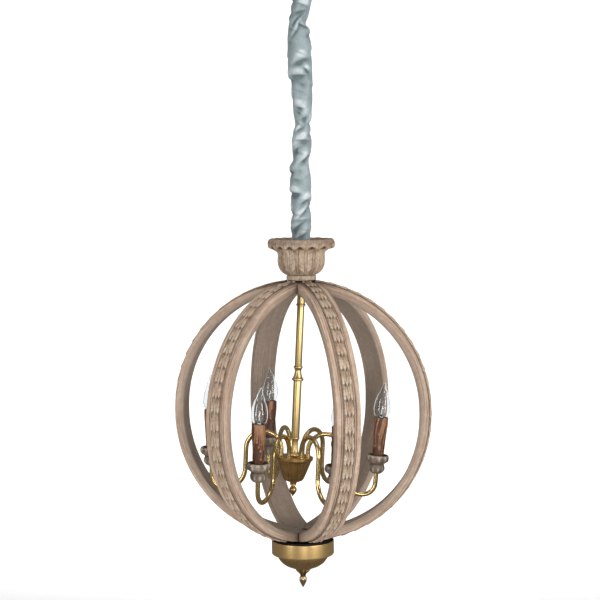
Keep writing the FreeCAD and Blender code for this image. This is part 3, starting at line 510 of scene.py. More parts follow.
def limed_wood(name, c, light, counts, dirt_and_shade_level, dirt_and_shade_share, bare=0.0):
    """Open-grained wood rubbed with lime: pale in its streaks and on its edges, greyer with painted shade where
    tone is high.

    Dark grain shows in the pores. Low relief gets grime and painted shade, high relief wear and painted
    highlights in lime. bare adds lime everywhere.
    """
    material, tree, shader, place, uv = start(name, Roughness=0.62, Specular_IOR_Level=0.35)
    wood = use(tree, "grain", Along_and_across=uv, Counts=counts)
    streaks, pores = wood["Streaks"], wood["Pores"]
    patch = clouds(tree, place, scale=9.0, low=0.36, high=0.64)
    small = clouds(tree, place, scale=60.0, low=0.35, high=0.7)
    body = laid_over(tree, blended(tree, streaks, c.wood_dark, light), (patch, 0.6, c.wood_warm))
    limed = times(tree, small, math_node(tree, "ADD", times(tree, streaks, 0.4), 0.12 + bare))
    body = laid_over(tree, blended(tree, limed, body, c.lime), (pores, 0.7, c.wood_dark))
    # tone: greyer wood with painted shade on the ribs' inner faces, painted shade inside the carved cup
    body = laid_over(tree, body, (attribute(tree, "tone"), 0.8, c.inner_wood_and_shade))
    # grime with painted shade where relief is low; wear and painted highlights, in lime, where it is high
    dirt, rubbed = shade_and_wear_masks(tree, place, scale=120.0, uneven=0.35, dirt_and_shade_level=dirt_and_shade_level, wear_and_highlight_level=0.75)
    body = laid_over(tree, body, (dirt, dirt_and_shade_share, c.wood_dirt_and_shade), (rubbed, 0.4, c.lime))
    show(tree, shader, body, (streaks, 0.72, 0.55))
    raise_by(tree, shader, math_node(tree, "SUBTRACT", streaks, times(tree, pores, 0.8)), 0.0004, 0.7)
    return material


def aged_metal(name, tint, dark, roughness, patina, counts=(30.0, 900.0, 1.0), dirt=0.5):
    """Lacquered metal: patina in clouds and, darker and duller, where relief is low, under faint turning lines.
    Low relief is patina in hollows, and painted shade on the spun cup's bowl.
    """
    material, tree, shader, place, uv = start(name, Metallic=1.0)
    cloud = clouds(tree, place, scale=45.0, low=0.38, high=0.68)
    lines = use(tree, "brushing", Along_and_across=uv, Counts=counts)["Lines"]
    # low relief: patina in hollows, and painted shade on the spun cup's bowl
    hollow, _ = shade_and_wear_masks(tree, place, scale=260.0, uneven=0.4, dirt_and_shade_level=0.6, wear_and_highlight_level=0.8)
    body = laid_over(tree, tint, (cloud, patina, dark), (hollow, dirt, dark), (lines, 0.08, dark))
    tree.links.new(body, shader.inputs["Base Color"])
    uneven = span(tree, cloud, 0, 1, roughness, roughness + 0.03)
    rough = math_node(tree, "ADD", uneven, times(tree, hollow, 0.2))
    tree.links.new(rough, shader.inputs["Roughness"])
    raise_by(tree, shader, lines, 0.000004, 0.1)
    return material


def clear_glass(name, tint):
    """Thin clear glass with a slight haze in its colour and gloss."""
    material, tree, shader, place, _ = start(name, Roughness=0.0, IOR=1.45, Transmission_Weight=1.0)
    haze = clouds(tree, place, scale=90.0, low=0.45, high=0.9)
    body = blended(tree, span(tree, haze, 0, 1, 0.75, 1.0), (1.0, 1.0, 1.0), tint)
    show(tree, shader, body, (haze, 0.0, 0.02))
    return material


def drip_resin(name, c):
    """Cast candle resin: amber brown, darker in streaks; grime and painted shade between the runs and low down,
    painted highlights on the runs; and waxy.
    """
    material, tree, shader, place, _ = start(name, Subsurface_Weight=0.12, Subsurface_Scale=0.004,
                                             Coat_Weight=0.25, Coat_Roughness=0.3, Specular_IOR_Level=0.45)
    flow = put(tree, "ShaderNodeMapping", {"Vector": place, "Scale": (1.0, 1.0, 0.22)}).outputs[0]
    runs = clouds(tree, flow, scale=140.0, low=0.38, high=0.66)
    cloud = clouds(tree, place, scale=30.0, low=0.35, high=0.7)
    # low relief: grime and painted shade between the runs and low down; high relief: painted highlights on the
    # runs
    dirt, rubbed = shade_and_wear_masks(tree, place, scale=200.0, uneven=0.45, dirt_and_shade_level=0.85, wear_and_highlight_level=0.7)
    body = laid_over(tree, c.wax, (cloud, 0.55, c.wax_dark_and_shade), (runs, 0.5, c.wax_dark_and_shade),
                     (dirt, 0.85, c.wax_dark_and_shade), (rubbed, 0.75, c.wax_highlight))
    show(tree, shader, body, (cloud, 0.33, 0.5))
    raise_by(tree, shader, runs, 0.0004, 0.5)
    return material


def weathered(name, c):
    """Candle cups in limed wood gone grey: grime and painted shade in the hollows, wear and painted highlights
    on the rims, and fine turning lines.
    """
    material, tree, shader, place, uv = start(name, Specular_IOR_Level=0.35)
    lines = use(tree, "brushing", Along_and_across=uv, Counts=(1500.0, 60.0, 1.0))["Lines"]
    cloud = clouds(tree, place, scale=70.0, low=0.36, high=0.66)
    # low relief: grime and painted shade in the cups' hollows; high relief: wear and painted highlights on rims
    # and bulges
    dirt, rubbed = shade_and_wear_masks(tree, place, scale=220.0, uneven=0.5, dirt_and_shade_level=0.74, wear_and_highlight_level=0.78)
    body = laid_over(tree, blended(tree, cloud, c.cup, c.cup_dark), (lines, 0.25, c.cup_dark),
                     (dirt, 0.85, c.wood_dirt_and_shade), (rubbed, 0.6, c.lime))
    show(tree, shader, body, (cloud, 0.5, 0.7))
    raise_by(tree, shader, math_node(tree, "ADD", lines, cloud), 0.00025, 0.5)
    return material


def sleeve_cloth(name, c):
    """Crushed satin: a fine weave, a nap that shades in clouds, painted shade in the folds, painted highlights
    on their crests, and a soft sheen.
    """
    material, tree, shader, place, uv = start(name, Sheen_Weight=0.25, Sheen_Roughness=0.35,
                                              Specular_IOR_Level=0.45)
    crush = clouds(tree, place, scale=55.0, low=0.34, high=0.68)
    # low relief: painted shade in the folds; high relief: painted highlights on their crests
    dirt, rubbed = shade_and_wear_masks(tree, place, scale=160.0, uneven=0.3, dirt_and_shade_level=0.62, wear_and_highlight_level=0.7)
    threads = stretched(tree, uv, (1500.0, 1500.0, 1.0))
    warp, weft = (put(tree, "ShaderNodeTexWave", {"Vector": threads, "Scale": 0.5}, bands_direction=way)
                  for way in "XY")
    weave = times(tree, warp.outputs["Fac"], weft.outputs["Fac"])
    body = laid_over(tree, c.cloth, (crush, 0.7, c.cloth_shade), (dirt, 0.75, c.cloth_fold_shade_and_threads),
                     (rubbed, 0.7, c.cloth_highlight), (weave, 0.10, c.cloth_fold_shade_and_threads))
    show(tree, shader, body, (crush, 0.38, 0.6))
    under = raise_by(tree, shader, crush, 0.0012, 0.5)
    raise_by(tree, shader, weave, 0.00008, 0.3, below=under)
    return material


def plain_metal(name, tint, roughness, metallic=1.0, scale=90.0):
    """Blackened, plated or moulded surface: slight unevenness in colour and gloss, and a fine orange peel."""
    material, tree, shader, place, _ = start(name, Metallic=metallic)
    cloud = clouds(tree, place, scale=scale, low=0.35, high=0.7)
    body = laid_over(tree, tint, (cloud, 0.6, tuple(share * 0.6 for share in tint[:3])))
    show(tree, shader, body, (cloud, roughness, roughness + 0.15))
    raise_by(tree, shader, cloud, 0.0001, 0.3)
    return material


# counts of grain or turning lines per metre, along and across
RIB_GRAIN, CARVING_GRAIN = (9.0, 330.0, 1.0), (30.0, 260.0, 1.0)
STEM_LINES, CUP_LINES = (900.0, 6.0, 1.0), (1400.0, 4.0, 1.0)

# each finish by name: its function, and that function's values from the colours c
FINISHES = {
    "limed rib wood": (limed_wood, lambda c: (c, c.wood, RIB_GRAIN, 0.62, 0.8)),
    "limed carving": (limed_wood, lambda c: (c, c.carving, CARVING_GRAIN, 0.66, 0.9, 0.1)),
    "aged brass": (aged_metal, lambda c: (c.brass, c.brass_dark, 0.2, 0.2)),
    "turned brass": (aged_metal, lambda c: (c.brass, c.brass_dark, 0.31, 0.06, STEM_LINES)),
    "dark brass": (aged_metal, lambda c: (c.dark_brass, c.brass_black, 0.36, 0.55, (30.0, 900.0, 1.0), 0.9)),
    "satin brass": (aged_metal, lambda c: (c.satin_brass, c.brass_dark, 0.34, 0.12, CUP_LINES, 0.8)),
    "pale brass": (aged_metal, lambda c: (c.pale_brass, c.brass_dark, 0.3, 0.35, (30.0, 900.0, 1.0), 0.9)),
    "weathered cup": (weathered, lambda c: (c,)),
    "drip resin": (drip_resin, lambda c: (c,)),
    "sleeve cloth": (sleeve_cloth, lambda c: (c,)),
    "clear glass": (clear_glass, lambda c: (c.glass_tint,)),
    "black steel": (plain_metal, lambda c: ((0.018, 0.016, 0.015), 0.45, 0.6)),
    "plated steel": (plain_metal, lambda c: ((0.42, 0.36, 0.27), 0.3)),
    "moulded socket": (plain_metal, lambda c: ((0.05, 0.032, 0.022), 0.45, 0.0)),
    "cap metal": (plain_metal, lambda c: ((0.62, 0.56, 0.45), 0.25, 1.0, 300.0)),
    "fitting brass": (plain_metal, lambda c: (c.brass, 0.28, 1.0, 120.0)),
    "filament wire": (plain_metal, lambda c: ((0.5, 0.46, 0.4), 0.35, 1.0, 400.0)),
}


def finish(name):
    """One of the chandelier's finishes by name, made when it is first asked for."""
    made = bpy.data.materials.get(name)
    if made:
        return made
    make, values = FINISHES[name]
    return make(name, *values(bpy.context.scene.chandelier_colours))


# ---- what a user may change -----------------------------------------------------------------------
def linear(red, green, blue):
    """Colour given as the eye sees it, 0 to 255, as the renderer's linear values."""
    c = np.array([red, green, blue]) / 255
    return tuple(float(v) for v in np.where(c <= 0.04045, c / 12.92, ((c + 0.055) / 1.055) ** 2.4))


def length(label, text, default, low, high):
    """A size in millimetres that a user may change."""
    return bpy.props.FloatProperty(name=label, description=text, default=default, min=low, max=high)


def colour(label, text, red, green, blue):
    """A colour that a user may change, given as the eye sees it."""
    return bpy.props.FloatVectorProperty(name=label, description=text, subtype="COLOR", size=3,
                                         min=0.0, max=1.0, default=linear(red, green, blue))


class ChandelierSizes(bpy.types.PropertyGroup):
    """Sizes of the carving, cloth and wax, in millimetres."""
    leaf_pitch: length("Leaf pitch", "Length of one group of leaves on the garlands, mm", 30.0, 20.0, 60.0)
    leaf_height: length("Leaf height", "How far the garlands' leaf tips stand off the rib, mm", 4.2, 1.0, 4.2)
    rib_width: length("Rib width", "Width of each bentwood rib, mm", 52.0, 40.0, 52.0)
    rib_round: length("Rib edge", "Radius of the ribs' rubbed edges, mm", 2.2, 0.5, 5.0)
    curl_depth: length("Curl depth", "How far the cup's leaf tips curl under its lip, mm", 3.2, 1.0, 8.0)
    fold_depth: length("Fold depth", "Depth of the cloth sleeve's gathered folds, mm", 3.6, 0.5, 6.0)
    drip_depth: length("Drip depth", "How far the wax runs stand off the candles, mm", 1.3, 0.2, 2.0)
    flame_bend: length("Flame bend", "How far the bulbs' glass tips bend over, mm", 6.0, 0.0, 10.0)


class ChandelierColours(bpy.types.PropertyGroup):
    """Colours of the finishes."""
    wood: colour("Wood", "Light streaks of the ribs' wood", 196, 171, 150)
    carving: colour("Carving", "Olive brown wood of the carved pieces", 168, 147, 120)
    wood_warm: colour("Warm wood", "Warmer patches in the wood", 176, 143, 118)
    wood_dark: colour("Dark grain", "Dark streaks and pores", 120, 94, 76)
    # greyer wood with painted shade on the ribs' inner faces, and painted shade inside the carved cup
    inner_wood_and_shade: colour("Inner wood and shade", "Greyer wood with painted shade on the ribs' inner faces, and painted shade inside the cup", 137, 122, 109)
    # grime with painted shade in grooves, leaf gaps and carving
    wood_dirt_and_shade: colour("Dirt", "Dirt and painted shade in the grooves, gaps and carving", 66, 48, 36)
    # also laid as painted highlight where relief is high
    lime: colour("Lime", "Lime rubbed into the wood, also laid as painted highlight where relief is high", 214, 200, 182)
    cloth: colour("Cloth", "The satin in half light", 148, 160, 162)
    # painted highlight on the cloth's fold crests
    cloth_highlight: colour("Cloth highlight", "Rubbed crests of the folds", 214, 219, 221)
    cloth_shade: colour("Cloth shade", "Clouds in the nap", 124, 140, 143)
    # painted shade in the cloth's folds, also the weave's dark threads
    cloth_fold_shade_and_threads: colour("Cloth fold shade", "Painted shade in the folds, and the weave's dark threads", 58, 76, 78)
    brass: colour("Brass", "Aged brass of the stem and arms", 222, 195, 136)
    # patina, and painted shade on the spun cup's bowl
    brass_dark: colour("Brass patina and shade", "Patina on the brass, and painted shade on the spun cup's bowl", 100, 60, 22)
    dark_brass: colour("Dark brass", "Cast hub and ruffled collar in antique brass", 212, 170, 108)
    brass_black: colour("Black patina", "Patina in the hub's flutes", 42, 30, 18)
    satin_brass: colour("Satin brass", "Brushed cup under the orb", 242, 204, 138)
    pale_brass: colour("Pale brass", "Acorn finial", 196, 176, 138)
    wax: colour("Wax", "Amber resin of the candles", 110, 66, 38)
    # resin streaks, and grime with painted shade between the drips and low down
    wax_dark_and_shade: colour("Dark wax", "Streaks of the resin, and grime with painted shade between its drips and low down", 56, 30, 16)
    # painted highlight on the drips' high places
    wax_highlight: colour("Pale wax", "Rubbed high places of the drips", 172, 126, 88)
    cup: colour("Candle cup", "Weathered candle cups", 138, 124, 109)
    cup_dark: colour("Candle cup dark", "Darker parts of the cups", 84, 72, 60)
    glass_tint: colour("Glass", "Haze of the bulbs' glass", 234, 238, 240)


# ---- ribs and garlands ----------------------------------------------------------------------------
# each groove on a rib: distance from the rib's middle, depth and width
RIB_GROOVES = ((15.4, 1.5, 0.75), (11.9, 1.4, 0.7))
RIB_BAND_HALF, RIB_BAND_SINK = 11.4, 0.15       # the middle band that the garland lies on
RIB_POLE_OUT = 10.3                             # how near to the axis the ribs go
MITRE_GAP, MITRE_ANGLE = 1.25, math.radians(30)
GLUE = 0.1                                      # between a rib and its garland
GARLAND_HALF, GARLAND_TOP_OUT, GARLAND_LOW_OUT = 11.0, 31.0, 63.0


def half_orb(outer, rows, top_out, low_out):
    """Angles down a half circle, and the middle's height at each, between two distances out from the axis."""
    t = np.linspace(math.acos(top_out / outer), -math.acos(low_out / outer), rows)
    return t, RIB_HALF_STRAIGHT * np.clip(t / 0.05, -1, 1)


def rib_points(sizes):
    """Flat section with rounded edges and, on its outer face, a bead between two grooves on each side.

    Each groove's depth follows a bell curve, and the section is carried down a half circle. Near the poles the
    width is clipped to the mitre planes, 30 degrees either side of the rib's own plane.
    """
    half, edge = sizes.rib_width / 2, sizes.rib_round
    corner = np.linspace(0, math.pi / 2, 5)
    face = np.linspace(-half + edge, half - edge, 77)
    grooves = sum(deep * bell(np.abs(face) - place, wide) for place, deep, wide in RIB_GROOVES)
    grooves = grooves + RIB_BAND_SINK * (np.abs(face) < RIB_BAND_HALF)
    right = np.stack([half - edge + edge * np.sin(corner), edge - edge * np.cos(corner)], 1)
    low = np.stack([half - edge + edge * np.cos(corner), RIB_T - edge + edge * np.sin(corner)], 1)
    back = np.linspace(half - edge, -half + edge, 15)
    section = np.concatenate([np.stack([face, grooves], 1), right[1:], low,
                              np.stack([back, RIB_T + 0 * back], 1)[1:],
                              (low * [-1, 1])[::-1], (right * [-1, 1])[:0:-1]])
    side, depth = section[:, 0], section[:, 1]
    t, shift = half_orb(RIB_OUTER_R, RIB_ROWS, RIB_POLE_OUT, RIB_POLE_OUT)
    out = (RIB_OUTER_R - depth) * np.cos(t)[:, None]
    up = (RIB_OUTER_R - depth) * np.sin(t)[:, None] + shift[:, None]
    limit = (out - MITRE_GAP) * math.tan(MITRE_ANGLE)
    # inside: the ribs' inner face, where tone lays greyer wood with painted shade
    inside = smooth(RIB_T * 0.55, RIB_T * 0.9, depth)
    edges = bell(np.abs(side) - half, 1.6) * (depth < edge)
    # relief: darker in the grooves and near the poles, lighter on the rounded edges
    relief = np.clip(0.75 - depth / 2.2 * (depth < 2) + 0.25 * edges, 0, 1)
    near_poles = smooth(1.05, 1.5, np.abs(t))[:, None]
    relief = np.where(depth > 2, 0.75, relief) - 0.4 * near_poles
    return np.stack([np.clip(side, -limit, limit), -out, up], -1), np.clip(relief, 0, 1), inside


def leaf_height(along, across, pitch, height):
    """Overlapping groups of three leaves, tips down, as heights from 0 to the given one.

    A leaf is as wide as an ellipse along its length, with a wavy edge, rounded across, and rises towards its
    tip. A groove runs down its middle and slanting veins leave it. The outer two splay outwards. Each leaf is
    longer than the pitch, so its tip lies over the next group's root, and the highest leaf shows. Two hollows
    by bell curves part the tips of a group.
    """
    best = np.zeros_like(along + across)
    for layer in (0.0, 1.0):
        p = (along / pitch) % 1.0 + layer
        for side in (-1, 0, 1):
            centre = side * (2.4 + 5.0 * np.clip(p, 0, 1) ** 0.8)
            reach, width, climb = (1.2, 3.7, 1.2) if side else (1.26, 3.9, 1.02)
            wide = width * np.sqrt(np.clip(1 - ((p - reach / 2) / (reach / 2)) ** 2, 0, 1)) ** 0.75
            wide = wide * (1 + 0.2 * np.sin(p * 26 + 1.7 * side))
            d = (across - centre) / np.maximum(wide, 0.05)
            dome = np.sqrt(np.clip(1 - d ** 2, 0, 1))
            groove = 1.1 * bell((across - centre), 0.55) * (p < reach * 0.86)
            veins = 0.5 * np.cos((p * 40 - np.abs(across - centre) * 1.5))
            rise = 0.28 + climb * p / reach
            leaf = rise * (0.42 + 0.58 * dome) - (groove + veins * dome) / height
            best = np.maximum(best, leaf * (np.abs(d) < 1))
    tip = ((along / pitch - 0.27 + 0.5) % 1.0 - 0.5) * pitch
    gap = bell(np.abs(across) - 2.7, 1.0) * np.where(tip < 0, bell(tip, 3.4), bell(tip, 1.2))
    return (np.clip(best, 0.3, 1.25) / 1.25 - 0.75 * gap).clip(0.0, 1.0) * height


def garland_points(sizes):
    """Leaf carving as heights over the rib's outer face, closed by its two edges and a flat back."""
    w = np.linspace(-GARLAND_HALF, GARLAND_HALF, GARLAND_COLUMNS)
    t, shift = half_orb(RIB_OUTER_R + GLUE, GARLAND_ROWS, GARLAND_TOP_OUT, GARLAND_LOW_OUT)
    along = ((t[0] - t) * RIB_OUTER_R)[:, None]
    heights = leaf_height(along, w[None, :], sizes.leaf_pitch, sizes.leaf_height)
    uneven = 0.93 + 0.09 * clump(along / 9.0, w[None, :] / 4.0, 41)
    heights = heights * uneven * smooth(GARLAND_HALF + 0.2, GARLAND_HALF - 1.0, np.abs(w))[None, :] + 0.3
    heights = np.clip(heights, 0, sizes.leaf_height)
    # relief follows the leaves' height: painted shadow and grime in the gaps and at the leaf roots, painted
    # highlights on the tips; darker near the poles
    relief = np.clip(heights / sizes.leaf_height * 1.15 - 0.3 * smooth(1.0, 1.5, np.abs(t))[:, None], 0, 1)
    nothing = np.zeros((len(t), 1))
    across = np.concatenate([w[:1], w, w[-1:]])
    heights = np.concatenate([nothing, heights, nothing], 1)
    relief = np.concatenate([nothing, relief, nothing], 1)
    r = RIB_OUTER_R + GLUE + heights
    points = np.stack([np.broadcast_to(across, r.shape), -r * np.cos(t)[:, None],
                       r * np.sin(t)[:, None] + shift[:, None]], -1)
    return points, relief


def make_ribs(sizes):
    """Six ribs and their garlands, each turned to its own azimuth, with its grain slid along."""
    points, relief, inside = rib_points(sizes)
    leaves, leaf_relief = garland_points(sizes)
    # tone: greyer wood with painted shade on the ribs' inner faces
    rib = surface(points, wrap=(False, True), caps=(True, True), relief=relief, tone=inside[None, :])
    garland = surface(leaves, wrap=(False, True), caps=(True, True), relief=leaf_relief)
    for k, azimuth in enumerate(RIB_AZIMUTHS):
        number = k + 1
        slide = np.array([1.7 * k, 0.13 * k])
        for part, name, kind, node, sharp, merge in (
                (rib, "rib_%d_wood", "limed rib wood", "rib_%d", 50, 0.02),
                (garland, "garland_%d_leaves", "limed carving", "garland_%d", 60, 0.0)):
            placed = dict(moved(moved(part, turned, azimuth), raised, ORB_CENTRE), uv=part["uv"] + slide)
            build(name % number, [placed], [kind], "orb", (node % number,), sharp, merge)


# ---- carved cup on top ----------------------------------------------------------------------------
LEAF_TURN, LEAF_SPAN = 11.25, 45.0      # degrees from the front to the cup's first leaf, and for each leaf
CUP_HOLE_R = 5.2


def cup_points(sizes):
    """Carved cup as heights over a turned outline, all from the angle round it.

    Eight broad leaves: each stands out by a flat-topped wave of the angle, with a ridge down its middle,
    slanting veins, and edges cut by a short wave into lobes. Upright flutes show between them. The lip rolls
    out, and sixteen leaf tips curl under it: there the lip's lower side hangs lower by a rounded wave, over
    hollows and under a groove. Fine upright lines only darken the finish. Painted shade darkens the hollows, the
    groove and the inside of the cup, and a painted highlight runs along the wave's lower edge.
    """
    outline = rounded([(27.2, 9.6), (29.5, 12), (34.5, 16), (40.5, 21.5), (44.6, 29), (46.3, 38), (46.2, 46),
                       (46.6, 55), (49.8, 61.5), (56.5, 65.5), (63.5, 67.8), (68.6, 71.3), (70.2, 76.5),
                       (68.6, 82.3), (64.8, 85.1), (60.5, 85.3), (56.5, 82), (52.5, 75), (46.5, 66),
                       (42.5, 56), (41.3, 40), (40.5, 30), (35, 18), (28, 14.3), (12, 14.1), (5.3, 14.1)], 1.25)
    outside = (np.arange(len(outline)) <= np.argmax(outline[:, 0]))[:, None]
    normal = np.gradient(outline, axis=0)
    normal = np.stack([normal[:, 1], -normal[:, 0]], 1)
    normal /= np.linalg.norm(normal, axis=1, keepdims=True)
    a = full_turn(CARVED_CUP_SIDES)
    q = ((np.degrees(a) - LEAF_TURN + LEAF_SPAN / 2) % LEAF_SPAN - LEAF_SPAN / 2)[None, :]
    r, h = outline[:, :1], outline[:, 1:]
    share = np.clip((h - 10) / 55, 0, 1)
    half = 12.5 + 7.5 * np.sin(share * math.pi * 0.8) + 1.6 * np.sin(share * 26 + 0.6)
    leaf = smooth(1.0, 0.72, np.abs(q) / half)
    ridge = 1.4 * bell(q, 1.5)
    furrow = -1.2 * bell(np.abs(q) - 3.0, 1.1) - 0.8 * bell(np.abs(q) - 0.86 * half, 1.2)
    veins = 0.5 * np.cos(share * 44 - np.abs(q) * 0.45) * smooth(3.5, 6.5, np.abs(q))
    flutes = 0.9 * np.cos(np.radians(q) * 48)
    body = leaf * (2.6 + ridge + furrow + veins) + (1 - leaf) * (0.7 * flutes + 0.5)
    rise = smooth(9.6, 15, h) * smooth(69.0, 63.0, h)
    curl = 0.5 + 0.5 * np.cos(np.radians(q) * 16 + 0.9 * np.sin(3 * a + 1)[None, :])
    under = bell(h - 70.0, 4.4) * outside
    tips = under * (sizes.curl_depth * (curl - 0.62))
    at_lip = bell(h - 77, 8) * outside + (1 - outside) * smooth(73, 82, h)
    lip = at_lip * (0.7 * curl - 0.35 + 0.5 * bell(q, 1.5))
    groove = bell(h - 79.0 + 3.0 * curl, 1.6) * outside
    total = body * rise * outside + tips + lip - 0.3 * groove
    total = total + 0.25 * clump(np.cos(a)[None, :] * 9, np.sin(a)[None, :] * 9 + h * 0.3, 5)
    wide = np.where(h < 10, r, r + normal[:, :1] * total)
    tall = h + normal[:, 1:] * total - under * 2.0 * curl
    # hollow: painted shade under the curled tips; edge: a painted highlight along the wave's lower edge; groove:
    # painted shade in it
    hollow = (1 - curl) ** 1.1 * bell(h - 67.5, 2.6) * outside
    edge = bell(h - 71.5 + 2.5 * curl, 1.4) * outside
    lines = (0.5 + 0.5 * np.cos(np.radians(q) * (150 - 60 * share))) * rise * outside * (h < 64)
    relief = 0.54 + body * rise * outside * 0.15 - 0.36 * lines - 0.75 * hollow + 0.35 * edge - 0.28 * groove
    # inside the cup: lower relief and high tone, painted shade
    relief = np.clip(relief, 0, 1) * np.where(outside, 1, 0.75)
    inside = np.broadcast_to((1 - outside) * smooth(83, 73, h), relief.shape)
    return round_points(wide, a, tall)[::-1], relief[::-1], inside[::-1]


def make_cup(sizes):
    """Carved cup with its plain foot ring."""
    points, relief, inside = cup_points(sizes)
    # tone lays painted shade inside the cup
    carving = surface(raised(points, CUP_FOOT), wrap=(False, True), relief=relief, tone=inside * 0.7)
    foot = lathe(softened([(27.0, 9.9), (30.0, 9.9), (31.0, 8.6), (31.3, 4.8), (31.0, 1.2), (30.2, 0.0),
                           (CUP_HOLE_R, 0.0), (CUP_HOLE_R, 14.1)], 0.7), 128, relief=0.85)
    build("carved_cup", [carving, moved(foot, raised, CUP_FOOT)], ["limed carving"], "orb",
          ("top_cup",), sharp=55)


# ---- cloth sleeve ---------------------------------------------------------------------------------
# height below the sleeve's top, sideways place and half width, as the gathers pinch it
CLOTH_SHAPE = [
    (0, 3.0, 20.5), (20, 4.4, 22.1), (40, 0.8, 20.6), (55, -3.9, 20.1), (69, -6.4, 17.5), (75, -2.3, 22.7),
    (102, -1.9, 25.2), (143, -0.6, 26.3), (174, 0.8, 25.8), (184, 2.3, 24.2), (194, 3.9, 22.7),
    (225, 4.3, 22.1), (250, 4.3, 20.1), (266, 5.0, 17.5), (276, 5.0, 16.5), (286, 2.4, 18.9),
    (307, 1.9, 22.0), (336, 2.0, 19.7), (348, 0.7, 17.4), (360, -2.8, 21.7), (389, -1.0, 23.5),
    (420, -0.3, 22.8), (444, -0.3, 19.9), (471, 0.4, 22.0), (487, -0.3, 23.4), (500, 0.4, 19.4),
    (524, 0.0, 21.0)]

# creases at the front: height below the top, angle round from the front, slant, reach round, depth and width
CLOTH_CREASES = [
    (30, 0.1, 6, 0.7, 2.6, 4), (44, 0.0, -4, 0.6, 3.0, 6), (62, -0.3, -22, 0.5, 2.6, 3.5),
    (72, 0.6, 10, 0.3, 3.2, 3), (80, -0.2, -26, 0.6, 2.2, 3.5), (145, 0.0, -8, 0.6, 3.4, 6.5),
    (163, 0.55, 14, 0.35, 3.2, 4), (175, -0.25, 0, 0.75, 3.8, 6), (192, 0.0, 0, 0.4, 1.2, 5),
    (241, -0.35, 4, 0.45, 3.2, 5), (250, -0.5, 8, 0.3, 1.5, 2.5), (262, 0.2, -6, 0.5, 2.6, 6),
    (286, -0.4, -10, 0.5, 2.4, 4), (307, 0.1, 0, 0.7, 3.4, 5), (325, -0.6, -10, 0.5, 3.2, 6),
    (345, 0.5, -14, 0.5, 3.4, 5), (368, -0.2, 0, 0.5, 1.3, 6), (388, -0.3, 4, 0.5, 1.3, 6),
    (415, -0.6, 3, 0.5, 3.4, 5), (433, 0.5, -10, 0.45, 3.2, 5), (457, 0.2, -18, 0.6, 3.4, 4.5),
    (471, -0.1, 0, 0.7, 2.2, 3.5), (484, -0.4, -14, 0.6, 3.6, 5), (503, 0.2, -8, 0.5, 2.4, 3.5)]

# more creases at random, round the sides and back, then fine ones at the front: how many, and the lowest and
# highest of the same six values
MORE_CREASES = [(44, (0, 1.5, -14, 0.5, 1.6, 3.4), (524, 4.8, 14, 1.0, 3.4, 6.0)),
                (26, (0, -1.4, -12, 0.3, 0.4, 2.2), (524, 1.4, 12, 0.7, 1.1, 3.6))]
CREASE_SEED = 17
CLOTH_THICKNESS = 0.0006       # metres
CHAIN_ROOM_R = 10.9            # the cloth stays outside this, so that the chain has room


def cloth_points(sizes):
    """Ruched satin tube: a round whose width and lean follow the gathers, with folds pressed into it.

    Each crease is a slanting valley that fades out round the tube by a bell curve. Its upper side is steep,
    with a rounded swell above it, and its lower side is long and soft. Between the creases the cloth has slow
    swells from sines, pleats bunch up at each narrow gather, and both ends wave.
    """
    down = np.linspace(0, SLEEVE_TOP - SLEEVE_LOW, CLOTH_ROWS)
    shape = np.asarray(CLOTH_SHAPE)
    soft = np.ones(7) / 7
    lean, half = (np.convolve(np.pad(np.interp(down, shape[:, 0], values), 3, "edge"), soft, "valid")[:, None]
                  for values in (shape[:, 1], shape[:, 2]))
    s, angle = np.meshgrid(down, full_turn(CLOTH_SIDES), indexing="ij")
    x, y = 1.6 * np.cos(angle), 1.6 * np.sin(angle)
    rng = np.random.default_rng(CREASE_SEED)
    random = [rng.uniform(low, high) for count, low, high in MORE_CREASES for _ in range(count)]
    folds = 0.9 * clump(0.8 * x + s / 62, 0.8 * y - s / 55, 12) + 0.35 * clump(x + s / 22, y - s / 19, 3)
    for place, where, slant, reach, deep, wide in CLOTH_CREASES + random:
        turn = (angle - where + math.pi) % (2 * math.pi) - math.pi
        d = s - place - slant * turn
        valley = np.where(d < 0, bell(d, 0.35 * wide), bell(d, 1.9 * wide))
        folds = folds + deep * bell(turn, reach) * (0.55 * bell(d + 2.1 * wide, 1.7 * wide) - valley)
    tight = smooth(25, 19.5, half)
    folds = folds + 0.9 * tight * (bump_wave(2.5 * angle + s / 26 + 1.2 * clump(x, y + s / 30, 8), 1.2) - 0.4)
    depth = sizes.fold_depth * np.clip(folds, -3.4, 2.0) / 3.4
    fringe = bell(s, 5.0) * 0.9 * np.sin(11 * angle) + bell(s - down[-1], 5.0) * 0.9 * np.sin(9 * angle)
    radius = np.maximum(half - 1.0 + depth + fringe, CHAIN_ROOM_R - lean * np.sin(angle))
    drift = 1.1 * clump(x + s / 18, y, 21) * (s > 8) * (s < down[-1] - 8)
    points = np.stack([lean + radius * np.sin(angle), -radius * np.cos(angle), SLEEVE_TOP - s + drift], -1)
    # relief: painted shade in the creases' valleys, painted highlights on their swells and crests
    return points, np.clip(0.6 + 0.26 * folds, 0, 1)


def make_sleeve(sizes):
    """Cloth sleeve: the ruched tube, given the cloth's thickness."""
    points, relief = cloth_points(sizes)
    cloth = surface(points, wrap=(False, True), relief=relief)
    piece = build("ruched_sleeve", [cloth], ["sleeve cloth"], "chain", ("fabric_sleeve",),
                  sharp=180)
    thick = piece.modifiers.new("cloth thickness", "SOLIDIFY")
    thick.thickness, thick.offset = CLOTH_THICKNESS, -1.0


